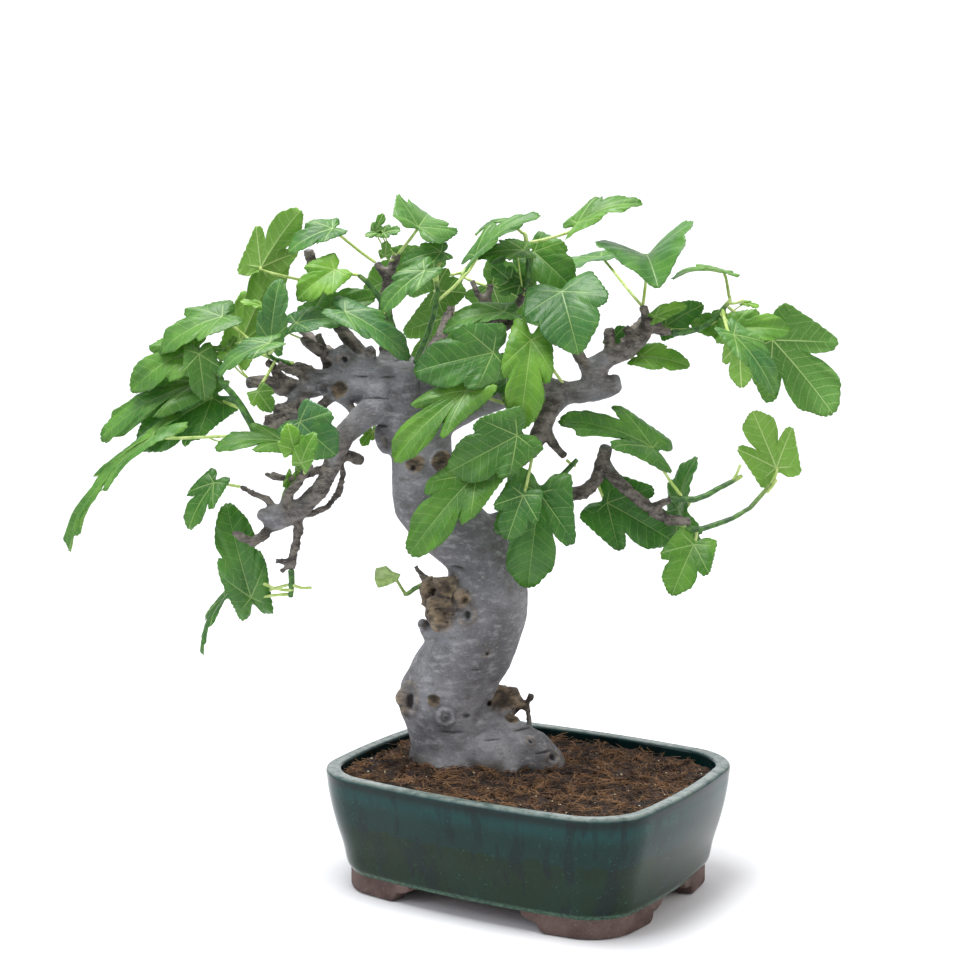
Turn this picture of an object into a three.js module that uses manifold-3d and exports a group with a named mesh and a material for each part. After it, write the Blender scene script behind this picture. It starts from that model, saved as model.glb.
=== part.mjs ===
// Fig bonsai in a glazed rectangular pot. Millimetres, +Z up, the feet stand on z = 0.
// X runs along the pot's long side and Y across it, to the back.
import * as THREE from 'three';
import { mergeVertices } from 'three/addons/utils/BufferGeometryUtils.js';
import Module from 'manifold-3d';

const wasm = await Module();
wasm.setup();

// ---- driving sizes ------------------------------------------------------------------------
const GAP = 0.3;               // air left between pieces that touch

const POT_LENGTH = 298;        // over the rim, at the middle of the sides
const POT_WIDTH = 241;
const POT_HEIGHT = 99;         // feet to rim
const CORNER_R = 38;           // rim corners
const SIDE_BOW = 10;           // how far each side swells outwards at its middle
const RIM_WIDTH = 11;          // the flat top of the rim
const BASE_INSET = 14.5;       // the glazed wall's foot stands this far in from the rim
const FOOT_HEIGHT = 15;
const FOOT_INSET = 17;         // outer face of the feet, in from the rim
const FOOT_DEPTH = 13;         // thickness of a foot, seen from below
const FOOT_REACH = 74;         // each foot's reach along the sides, from the corner
const FOOT_STEP = 14;          // the cloud step at a foot's end
const FLOOR_Z = 24;            // inside floor
const DRAIN_D = 20;            // two drain holes
const DRAIN_SPACING = 116;

const SOIL_DROP = 9;           // soil below the rim
const SOIL_MOUND = 7;          // heap round the trunk
const MOUND_R = 70;            // its spread
const ROOT_DEPTH = 9;          // the trunk's foot goes this deep into the soil

const TREE_SCALE = 1;          // one factor for the whole tree
const TREE_TURN = 30.9;        // degrees from the pot's long side to the tree's front
const TREE_BACK = 28;          // the trunk's middle plane lies this far behind the pot's centre
const BARK = 1;                // factor on the thickness of trunk and branches

const BLADE = 0.9;             // leaf thickness
const STALK_R = 1.15;          // leaf stalk radius
const BLADE_GAP = 0.35;        // least air between two leaves

const TRUNK_SIDES = 14;
const TRUNK_STEPS = 22;
const LIMB_SIDES = 8;
const TWIG_SIDES = 5;
const STALK_SIDES = 5;
const STALK_STEPS = 4;

// ---- the tree's own frame --------------------------------------------------------------------
// x to the right, y away from the front, z up. A point is given on the tree's middle plane, as it
// lines up from the front viewpoint, and slides along that line of sight to its own depth y.
const VIEW = { x: -31.6, y: -1491, z: 518 };
const SOIL_Z = POT_HEIGHT - SOIL_DROP;
const GROUND = 90;             // soil level in the tree's own frame

function at(x, y, z) {
  const depth = y * TREE_SCALE + TREE_BACK;
  const k = (depth - VIEW.y) / -VIEW.y;
  const px = VIEW.x + (x - VIEW.x) * k;
  const pz = VIEW.z + (z - VIEW.z) * k;
  return new THREE.Vector3(px * TREE_SCALE, depth, SOIL_Z + (pz - GROUND) * TREE_SCALE);
}

// ---- solids ------------------------------------------------------------------------------------
function solidFrom(positions, triangles) {
  return new wasm.Manifold(new wasm.Mesh({
    numProp: 3,
    vertProperties: Float32Array.from(positions),
    triVerts: Uint32Array.from(triangles),
  }));
}

function solidOfGeometry(geometry) {
  const g = geometry.clone();
  g.deleteAttribute('normal');
  g.deleteAttribute('uv');
  const m = mergeVertices(g, 1e-4);
  return solidFrom(m.attributes.position.array, m.index.array);
}

function geometryOf(solid) {
  const mesh = solid.getMesh();
  const g = new THREE.BufferGeometry();
  g.setAttribute('position', new THREE.BufferAttribute(new Float32Array(mesh.vertProperties), 3));
  g.setIndex(new THREE.BufferAttribute(new Uint32Array(mesh.triVerts), 1));
  g.computeVertexNormals();
  return g;
}

const union = (solids) => wasm.Manifold.union(solids);
const largest = (solid) => solid.decompose().sort((a, b) => b.volume() - a.volume())[0];

// Closed skin over a stack of rings that all have the same number of points, first ring lowest.
function loft(rings) {
  const n = rings[0].length;
  const positions = [];
  const triangles = [];
  for (const ring of rings) for (const p of ring) positions.push(p.x, p.y, p.z);
  for (let r = 0; r + 1 < rings.length; r++) {
    for (let i = 0; i < n; i++) {
      const a = r * n + i, b = r * n + (i + 1) % n;
      triangles.push(a, b, b + n, a, b + n, a + n);
    }
  }
  for (const [ring, flip] of [[rings[0], true], [rings[rings.length - 1], false]]) {
    const centre = ring.reduce((s, p) => s.add(p), new THREE.Vector3()).divideScalar(n);
    const c = positions.length / 3;
    const base = flip ? 0 : (rings.length - 1) * n;
    positions.push(centre.x, centre.y, centre.z);
    for (let i = 0; i < n; i++) {
      const a = base + i, b = base + (i + 1) % n;
      triangles.push(...(flip ? [c, b, a] : [c, a, b]));
    }
  }
  return solidFrom(positions, triangles);
}

// Rings of a tapering round branch through points [Vector3, radius]; grow thickens it all round.
function ringsAlong(path, sides, steps, grow = 0, firstNormal = null) {
  const curve = new THREE.CatmullRomCurve3(path.map(([p]) => p), false, 'centripetal');
  const rings = [];
  let normal = firstNormal;
  for (let s = 0; s <= steps; s++) {
    const t = s / steps;
    const tangent = curve.getTangent(t);
    const centre = curve.getPoint(t);
    if (s === 0) centre.addScaledVector(tangent, -grow);
    if (s === steps) centre.addScaledVector(tangent, grow);
    const f = t * (path.length - 1);
    const i = Math.min(Math.floor(f), path.length - 2);
    const r = THREE.MathUtils.lerp(path[i][1], path[i + 1][1], f - i) + grow;
    if (!normal) normal = new THREE.Vector3(0, Math.abs(tangent.z) > 0.8 ? -1 : 0, 1);
    normal = normal.clone().addScaledVector(tangent, -normal.dot(tangent)).normalize();
    const side = tangent.clone().cross(normal);
    const ring = [];
    for (let k = 0; k < sides; k++) {
      const a = (2 * Math.PI * k) / sides;
      ring.push(centre.clone().addScaledVector(normal, r * Math.cos(a))
        .addScaledVector(side, r * Math.sin(a)));
    }
    rings.push(ring);
  }
  return rings;
}
const branch = (path, sides, steps, grow = 0) => loft(ringsAlong(path, sides, steps, grow));

function lump([x, y, z, r, sx = 1, sy = 1, sz = 1], grow = 0) {
  const g = new THREE.IcosahedronGeometry(1, 1);
  const size = r * BARK * TREE_SCALE;
  g.scale(size * sx + grow, size * sy + grow, size * sz + grow);
  const c = at(x, y, z);
  g.translate(c.x, c.y, c.z);
  return solidOfGeometry(g);
}

// ---- pot -----------------------------------------------------------------------------------------
// Rounded rectangle with swelling sides, counter-clockwise, drawn inset from the rim's outline.
function potOutline(inset, z, arc = 4, side = 4) {
  const a = POT_LENGTH / 2 - SIDE_BOW - inset, b = POT_WIDTH / 2 - SIDE_BOW - inset;
  const r = Math.max(CORNER_R - inset * 0.6, 8);
  const pts = [];
  const corners = [[1, 1, 0], [-1, 1, 90], [-1, -1, 180], [1, -1, 270]];
  corners.forEach(([sx, sy, start], c) => {
    for (let i = 0; i <= arc; i++) {
      const t = THREE.MathUtils.degToRad(start + (90 * i) / arc);
      pts.push([sx * (a - r) + r * Math.cos(t), sy * (b - r) + r * Math.sin(t)]);
    }
    const next = corners[(c + 1) % 4];
    const from = pts[pts.length - 1];
    const t = THREE.MathUtils.degToRad(next[2]);
    const to = [next[0] * (a - r) + r * Math.cos(t), next[1] * (b - r) + r * Math.sin(t)];
    for (let i = 1; i < side; i++) {
      pts.push([from[0] + ((to[0] - from[0]) * i) / side, from[1] + ((to[1] - from[1]) * i) / side]);
    }
  });
  return pts.map(([x, y]) => {
    const u = x / a, v = y / b;
    return new THREE.Vector3(x + SIDE_BOW * u * (1 - v * v), y + SIDE_BOW * v * (1 - u * u), z);
  });
}

// [height above the feet, inset from the rim's outline]: the wall swells out towards the rim.
const upWall = (foot, share) => foot + (POT_HEIGHT - foot) * share;
const WALL_OUT = [
  [FOOT_HEIGHT, BASE_INSET + 1.5], [FOOT_HEIGHT + 2.5, BASE_INSET], [FOOT_HEIGHT + 7, BASE_INSET - 2],
  [upWall(FOOT_HEIGHT, 0.25), BASE_INSET * 0.7], [upWall(FOOT_HEIGHT, 0.44), BASE_INSET * 0.51],
  [upWall(FOOT_HEIGHT, 0.655), BASE_INSET * 0.32], [upWall(FOOT_HEIGHT, 0.82), BASE_INSET * 0.19],
  [POT_HEIGHT - 10, 1.8], [POT_HEIGHT - 7, 0.3], [POT_HEIGHT - 3, 0], [POT_HEIGHT, 1.2],
];
const WALL_IN = [
  [FLOOR_Z, BASE_INSET + 12], [FLOOR_Z + 5, BASE_INSET + 8],
  [upWall(FLOOR_Z, 0.35), RIM_WIDTH + 5.5], [upWall(FLOOR_Z, 0.67), RIM_WIDTH + 1.9],
  [POT_HEIGHT - 4, RIM_WIDTH + 0.2], [POT_HEIGHT, RIM_WIDTH - 0.6],
];
function insetAt(profile, z) {
  for (let i = 0; i + 1 < profile.length; i++) {
    const [z0, d0] = profile[i], [z1, d1] = profile[i + 1];
    if (z <= z1) return d0 + ((d1 - d0) * Math.max(z - z0, 0)) / (z1 - z0);
  }
  return profile[profile.length - 1][1];
}

// The space between two feet: open below, up to a height.
function gap(lx, ly, top) {
  const below = 5;
  const g = new THREE.BoxGeometry(lx, ly, top + below);
  g.translate(0, 0, (top - below) / 2);
  return solidOfGeometry(g);
}
const drains = [-1, 1].map((s) => {
  const g = new THREE.CylinderGeometry(DRAIN_D / 2, DRAIN_D / 2, FLOOR_Z + 20, 20);
  g.rotateX(Math.PI / 2);
  g.translate(s * DRAIN_SPACING / 2, 0, FLOOR_Z / 2);
  return solidOfGeometry(g);
});

function makePot() {
  const shell = loft(WALL_OUT.map(([z, d]) => potOutline(d, z)));
  const hollow = loft([...WALL_IN, [POT_HEIGHT + 5, RIM_WIDTH - 1.4]].map(([z, d]) => potOutline(d, z)));
  const skirt = loft([[0, FOOT_INSET + 1.5], [3, FOOT_INSET], [FOOT_HEIGHT + 4, FOOT_INSET]]
    .map(([z, d]) => potOutline(d, z)));
  const under = loft([[-5, FOOT_INSET + FOOT_DEPTH], [FOOT_HEIGHT, FOOT_INSET + FOOT_DEPTH]]
    .map(([z, d]) => potOutline(d, z)));
  const L = POT_LENGTH - 2 * FOOT_INSET, W = POT_WIDTH - 2 * FOOT_INSET;
  const openX = L - 2 * FOOT_REACH;
  const openY = W - 2 * FOOT_REACH;
  const step = FOOT_HEIGHT * 0.52;
  const gaps = [
    gap(openX, POT_WIDTH, step), gap(openX - 2 * FOOT_STEP, POT_WIDTH, FOOT_HEIGHT),
    gap(POT_LENGTH, openY, step), gap(POT_LENGTH, openY - 2 * FOOT_STEP, FOOT_HEIGHT),
  ];
  const feet = skirt.subtract(union([under, ...gaps]));
  return shell.add(feet).subtract(union([hollow, ...drains]));
}

// ---- trunk and branches: [x, depth, z, radius] -------------------------------------------------------
const WOOD = {
  trunk: [[-58, 0, GROUND - ROOT_DEPTH, 41], [-60, 0, 99, 38], [-63, 0, 118, 33], [-68, 0, 138, 34.5],
    [-70, 0, 150, 36], [-67, 0, 163, 36], [-58, 0, 178, 35], [-49, 0, 193, 35], [-42, 0, 210, 36.5],
    [-38, 0, 228, 38], [-35, 0, 243, 36], [-36, 0, 258, 31], [-42, 0, 274, 28], [-58, 0, 290, 28],
    [-76, 0, 306, 28.5], [-84, 0, 323, 28], [-86, 0, 342, 26], [-86, 0, 362, 25], [-91, 0, 384, 28],
    [-102, 0, 404, 30], [-116, 2, 418, 22]],
  rootRight: [[-44, 0, 130, 20], [-20, -6, 116, 25], [2, -8, 103, 23],
    [20, -6, 93, 15], [33, -2, 87, 7]],
  rootFront: [[-42, -14, 114, 21], [-26, -24, 98, 18], [-12, -28, 86, 12]],
  rootLeft: [[-74, 0, 118, 24], [-86, 2, 102, 14], [-93, 4, 91, 8]],
  crownLeft: [[-92, 0, 392, 29], [-120, 0, 408, 24], [-144, 0, 413, 17], [-163, 2, 410, 11],
    [-184, 2, 402, 7.5], [-197, 0, 405, 6.5], [-210, -2, 410, 6], [-225, -2, 409, 5]],
  cutTop: [[-136, -6, 418, 12], [-152, -9, 437, 8]],
  limbLeft: [[-108, -14, 398, 15], [-130, -24, 384, 12], [-148, -29, 367, 9], [-158, -29, 343, 7.5],
    [-166, -28, 325, 7.5], [-180, -26, 311, 8.5], [-193, -24, 303, 9], [-203, -24, 300, 10.5],
    [-211, -24, 303, 6], [-217, -24, 304, 4.5]],
  limbLeftBack: [[-152, -20, 352, 3], [-149, -10, 335, 3], [-153, -10, 320, 3], [-163, -14, 309, 3],
    [-182, -22, 302, 3.2]],
  hangTwig: [[-183, -24, 303, 4], [-186, -24, 286, 4], [-189, -24, 273, 4.3], [-192, -24, 260, 4.6]],
  hangStubA: [[-190, -24, 265, 3], [-204, -24, 266, 2.6]],
  hangStubB: [[-191, -24, 263, 3], [-200, -24, 257, 2.2]],
  lowTwig: [[-204, -24, 298, 5.5], [-213, -26, 287, 4.6], [-222, -28, 281, 4.5], [-230, -30, 284, 3.6],
    [-237, -32, 290, 2.8]],
  sideTwig: [[-203, -24, 305, 4.5], [-210, -22, 316, 3.2], [-222, -20, 321, 2.6], [-231, -18, 326, 2.2]],
  upTwig: [[-197, -25, 306, 5.5], [-193, -28, 320, 4.8], [-183, -32, 331, 4.2], [-175, -34, 345, 4]],
  backTwig: [[-164, -22, 342, 3.4], [-186, -12, 333, 3.2], [-204, -10, 333, 2.8], [-212, -10, 337, 2.4]],
  twigB: [[-146, 6, 414, 6.5], [-168, 8, 416, 4.6], [-182, 8, 423, 3.8], [-192, 8, 421, 3]],
  twigC: [[-130, 5, 421, 8], [-152, 8, 428, 6], [-167, 10, 434, 5.2], [-180, 10, 444, 4.2]],
  twigD: [[-158, 14, 414, 5.5], [-164, 20, 436, 4.2], [-168, 20, 448, 3.4]],
  twigE: [[-195, -4, 403, 5], [-201, 10, 414, 3.8], [-204, 12, 424, 3]],
  twigF: [[-176, -2, 402, 6], [-190, -8, 391, 5], [-204, -10, 387, 4.2]],
  twigG: [[-180, -6, 396, 5], [-195, -12, 380, 5], [-207, -14, 371, 4.4], [-217, -15, 365, 3.6],
    [-226, -15, 363, 3]],
  twigTop: [[-124, 10, 420, 9], [-145, 16, 446, 6.5], [-161, 22, 470, 5.8], [-170, 22, 492, 5.6],
    [-174, 22, 514, 4.8]],
  twigMid: [[-108, 8, 418, 11], [-114, 12, 446, 7.2], [-115, 14, 472, 6.2], [-111, 14, 494, 5],
    [-104, 14, 511, 3.6]],
  twigMidFork: [[-112, 14, 490, 4.5], [-121, 12, 504, 3.4]],
  twigBack: [[-96, 18, 404, 12], [-82, 48, 424, 8], [-70, 74, 446, 6], [-62, 92, 470, 4.5]],
  twigBackLeft: [[-122, 12, 412, 10], [-146, 44, 424, 7], [-170, 72, 440, 5], [-186, 88, 458, 3.6]],
  shoulder: [[-88, 0, 378, 21], [-60, 0, 387, 16], [-32, 0, 397, 12.5], [-6, 2, 406, 10.5],
    [14, 2, 406, 9.6], [30, 0, 401, 9.6], [47, 0, 404, 10.5], [61, 0, 406, 9.4], [72, -2, 409, 7.6]],
  limbRight: [[-82, -6, 334, 15], [-56, -10, 331, 11.5], [-33, -12, 335, 8.4], [-15, -12, 343, 7.4],
    [0, -12, 355, 7.5], [9, -10, 371, 7.6], [16, -6, 387, 7.8], [25, 0, 399, 8.4]],
  knobTwig: [[12, -9, 381, 6.6], [14, -12, 368, 5.2], [20, -14, 359, 4.2], [28, -16, 350, 3.2]],
  lowLimb: [[-40, 8, 286, 16], [-15, 12, 300, 9.6], [5, 12, 312, 7.6], [25, 9, 320, 6.6],
    [43, 6, 321, 6.4], [53, 4, 331, 6], [58, 2, 345, 6.2], [61, 0, 359, 5]],
  lowLimbTwig: [[57, 2, 348, 6], [66, 0, 335, 6], [78, -2, 323, 5.6], [90, -4, 313, 5.6],
    [101, -6, 305, 5.4], [112, -8, 299, 5.2], [129, -10, 298, 4.6]],
  ringTwig: [[99, -5, 308, 4.6], [106, -8, 313, 3.8], [113, -8, 315, 3.4]],
  riseRight: [[50, 0, 406, 9.5], [53, 2, 423, 9], [64, 2, 430, 8], [76, 0, 434, 8], [86, -2, 443, 7.4],
    [94, -2, 455, 6], [103, -4, 459, 4.6]],
  riseTop: [[91, -2, 450, 6], [92, -2, 461, 4.8], [89, -2, 470, 4]],
  riseStub: [[83, 0, 442, 5], [75, 0, 453, 3.6]],
  riseEnd: [[97, -3, 452, 5], [106, -4, 449, 4.2], [112, -4, 449, 3.6]],
  riseFork: [[64, 2, 430, 7], [63, 2, 441, 5], [62, 2, 453, 4.6]],
  riseLeft: [[49, 0, 408, 8], [43, 0, 422, 6], [36, 0, 436, 5]],
  riseBack: [[56, 6, 420, 8], [62, 34, 432, 5.5], [76, 60, 446, 4.4], [92, 78, 462, 3.4]],
  upMid: [[-38, 4, 396, 11], [-42, 10, 424, 8], [-40, 12, 443, 7], [-30, 12, 452, 6], [-20, 12, 464, 4]],
  upMidFork: [[-28, 12, 450, 5], [-17, 12, 454, 4.4], [-9, 12, 461, 4]],
  upMidTwig: [[-23, 12, 458, 4.4], [-32, 14, 471, 3.8], [-41, 14, 479, 3.4], [-46, 14, 490, 3]],
  upMidTip: [[-34, 14, 472, 3.4], [-31, 14, 487, 3]],
  upTop: [[-22, 12, 461, 4.4], [-8, 10, 473, 3.8], [-4, 8, 484, 3.4]],
  sideStub: [[-74, -2, 200, 10], [-84, -4, 211, 6.5], [-89, -4, 218, 4]],
  burrTwig: [[-72, -12, 242, 5], [-84, -12, 251, 3.6], [-92, -10, 262, 2.6]],
  burrStub: [[-12, 8, 146, 7], [-1, 10, 147, 4], [2, 10, 157, 2.8]],
  burrStrand: [[-1, 9, 148, 3], [0, 8, 137, 2.6], [2, 2, 124, 3]],
};
const LIMBS = ['rootRight', 'rootFront', 'rootLeft', 'crownLeft', 'limbLeft', 'shoulder', 'limbRight',
  'lowLimb', 'riseRight'];

// Burrs, callus rings and old cuts: [x, depth, z, radius, stretch in x, y, z].
const LUMPS = [
  [-71, -19, 226, 13, 1, 1.2, 1.1], [-79, -15, 241, 10], [-66, -20, 244, 9.5], [-52, -26, 234, 9],
  [-70, -26, 137, 12, 1, 1, 1], [-77, -24, 151, 9], [-97, -12, 151, 13, 0.7, 1, 1.3],
  [-22, 10, 152, 14, 1, 1, 0.9], [-12, 10, 148, 10], [-24, 6, 142, 13],
  [-135, -8, 414, 15, 1.2, 1, 1], [-118, -14, 408, 18], [-152, -4, 414, 11],
  [-203, -25, 301, 11], [-91, -20, 345, 8.5], [-70, -21, 346, 8],
];

const curveOf = (points) => new THREE.CatmullRomCurve3(points.map(([x, y, z]) => at(x, y, z)), false,
  'centripetal');
function wood(grow) {
  const solids = LUMPS.map((l) => lump(l, grow));
  for (const [name, points] of Object.entries(WOOD)) {
    const path = points.map(([x, y, z, r]) => [at(x, y, z), r * BARK * TREE_SCALE]);
    const side = LIMBS.includes(name) ? LIMB_SIDES : TWIG_SIDES;
    const sides = name === 'trunk' ? TRUNK_SIDES : side;
    const steps = name === 'trunk' ? TRUNK_STEPS : Math.max(2, points.length - 1);
    solids.push(branch(path, sides, steps, grow));
  }
  return union(solids);
}

// ---- green shoots: [x, depth, z, radius] ---------------------------------------------------------------
const SHOOTS = {
  shoot_low_right: [[120, -10, 297, 3], [131, -12, 291, 2.8], [142, -12, 293, 2.6], [156, -10, 298, 2.4],
    [172, -8, 305, 2.2], [186, -4, 320, 1.9], [193, -2, 328, 1.5]],
  shoot_ring_right: [[110, -8, 315, 3], [122, -8, 316, 3], [136, -8, 316, 2.9], [148, -8, 323, 2.6],
    [160, -8, 329, 2.4], [170, -8, 335, 1.6]],
  shoot_inner: [[24, 6, 319, 2.6], [14, -12, 321, 2.8], [24, -16, 333, 2.8], [38, -16, 348, 2.2]],
  shoot_fork: [[2, -12, 354, 3], [3, -20, 354, 3], [-2, -27, 361, 2.8], [-12, -30, 376, 2.6],
    [-18, -32, 392, 2.2], [-22, -34, 400, 1.8]],
  shoot_left: [[-214, -15, 365, 3.2], [-218, -15, 368, 3.4], [-224, -15, 381, 3.6], [-233, -15, 396, 3.2],
    [-243, -14, 408, 2.6], [-254, -12, 418, 2], [-252, -10, 430, 1.6], [-254, -8, 438, 1.3]],
  shoot_crown_left: [[-186, 8, 423, 2.6], [-197, 4, 426, 2.6], [-205, 0, 429, 2.4], [-208, -4, 438, 2]],
  shoot_mid_left: [[-112, 10, 452, 2.8], [-108, 0, 454, 2.8], [-117, -4, 473, 2.6], [-127, -6, 487, 2.4],
    [-135, -8, 494, 1.8]],
  shoot_mid: [[-96, 0, 408, 3], [-88, -14, 432, 2.8], [-79, -16, 452, 2.6], [-73, -16, 478, 2.4],
    [-74, -16, 496, 1.8]],
  shoot_top: [[-5, 8, 478, 2.8], [-1, 6, 498, 2.6], [-2, 4, 514, 2.3], [-4, 3, 526, 1.6]],
  shoot_far_right: [[108, -4, 449, 3], [125, -6, 449, 2.9], [142, -8, 456, 2.6], [152, -8, 467, 2.3],
    [158, -6, 474, 1.8]],
  shoot_burr: [[-76, -14, 246, 2.6], [-88, -16, 246, 2.4], [-96, -16, 240, 2], [-101, -16, 238, 1.4]],
  shoot_hanging: [[-192, -24, 264, 3], [-191, -24, 250, 2.8], [-192, -24, 236, 2.2]],
  shoot_back: [[-64, 88, 462, 2.8], [-58, 100, 482, 2.4], [-50, 108, 500, 1.8]],
};

// ---- leaves ----------------------------------------------------------------------------------------------
// Blade template: u along the midrib (stalk 0, tip 1), v to the side. It starts in the notch at the
// stalk and goes round by the right-hand lobes to the tip; cut deepens the notches between lobes.
function bladeOutline(cut) {
  const right = [[-0.17, 0.33], [0.26 + 0.18 * cut, 0.5], [0.5 - 0.15 * cut, 0.42 - 0.22 * cut],
    [0.74, 0.28 - 0.05 * cut]];
  return [[-0.1, 0], ...right, [1, 0], ...right.slice().reverse().map(([u, v]) => [u, -v])];
}

// One leaf in a single skin. The blade is a thin slab on a net of one centre and two rings of
// points, and the stalk grows out of a small ring of STALK_SIDES points under its centre.
function makeLeaf(spec, shift) {
  const { J, T, roll, wide, cut = 0.3, fold = 0.2, arch = 0.08, root } = spec;
  const j = at(J[0], J[1] + shift, J[2]), tip = at(T[0], T[1] + shift, T[2]);
  const along = tip.clone().sub(j);
  const length = along.length();
  const d = along.clone().divideScalar(length);
  const front = new THREE.Vector3(0, -1, 0);
  front.addScaledVector(d, -front.dot(d)).normalize();
  const up = d.clone().cross(front);
  if (up.z < -0.05 || (Math.abs(up.z) <= 0.05 && up.x < 0)) up.negate();
  const a = THREE.MathUtils.degToRad(roll);
  const n = front.clone().multiplyScalar(Math.cos(a)).addScaledVector(up, Math.sin(a));
  const side = n.clone().cross(d);
  const point = ([u, v], w, share) => {
    const reach = Math.hypot(u, v * wide) * length;
    const s = Math.max(share, Math.min(1, (1.5 * STALK_R) / reach));
    const us = u * s, vs = v * s * wide;
    const rise = length * (arch * 4 * us * (1 - us) + fold * Math.abs(vs));
    return j.clone().addScaledVector(d, us * length).addScaledVector(side, vs * length)
      .addScaledVector(n, rise + w);
  };
  const outline = bladeOutline(cut);
  const N = outline.length;
  const points = [j.clone().addScaledVector(n, BLADE / 2)];
  for (const w of [BLADE / 2, -BLADE / 2]) {
    for (const share of [0.5, 1]) for (const uv of outline) points.push(point(uv, w, share));
  }
  const below = j.clone().addScaledVector(n, -3.4).addScaledVector(d, -1.2);
  const first = j.clone().addScaledVector(n, -BLADE / 2);
  const mid = below.clone().lerp(root, 0.5).addScaledVector(n, -2);
  const stalk = ringsAlong([[first, STALK_R], [below, STALK_R], [mid, STALK_R],
    [root, STALK_R * 1.1]], STALK_SIDES, STALK_STEPS, 0, d.clone().negate());
  stalk[0] = stalk[0].map((p, k) => {
    const t = (2 * Math.PI * k) / STALK_SIDES;
    return first.clone().addScaledVector(d, -STALK_R * Math.cos(t))
      .addScaledVector(side, STALK_R * Math.sin(t));
  });
  for (const ring of stalk) points.push(...ring);

  const tri = [];
  const under = 2 * N, base = 1 + 4 * N;
  for (let k = 0; k < N; k++) {
    const m = (k + 1) % N;
    const i0 = 1 + k, i1 = 1 + m, o0 = i0 + N, o1 = i1 + N;
    tri.push(0, i1, i0, i0, i1, o1, i0, o1, o0);
    tri.push(under + i0, under + o1, under + i1, under + i0, under + o0, under + o1);
    tri.push(o0, o1, under + o1, o0, under + o1, under + o0);
  }
  const perSide = N / STALK_SIDES;
  for (let k = 0; k < STALK_SIDES; k++) {
    const s0 = base + k, s1 = base + (k + 1) % STALK_SIDES;
    const rim = (i) => under + 1 + (k * perSide + i) % N;
    for (let i = 0; i < perSide; i++) tri.push(s0, rim(i), rim(i + 1));
    tri.push(s0, rim(perSide), s1);
    for (let r = 0; r < STALK_STEPS; r++) {
      const a0 = s0 + r * STALK_SIDES, a1 = s1 + r * STALK_SIDES;
      tri.push(a0, a1, a1 + STALK_SIDES, a0, a1 + STALK_SIDES, a0 + STALK_SIDES);
    }
    const end = base + STALK_STEPS * STALK_SIDES;
    if (k > 0 && k < STALK_SIDES - 1) tri.push(end, end + k, end + k + 1);
  }
  const whole = solidFrom(points.flatMap((p) => [p.x, p.y, p.z]), tri);
  // the same slab with a closed underside, to test the blade's own clearance
  const slab = tri.slice(0, 21 * N);
  points[base] = j.clone().addScaledVector(n, -BLADE / 2);
  for (let k = 0; k < N; k++) slab.push(base, under + 1 + k, under + 1 + (k + 1) % N);
  const blade = solidFrom(points.slice(0, base + 1).flatMap((p) => [p.x, p.y, p.z]), slab);
  return { blade, whole };
}

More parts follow.
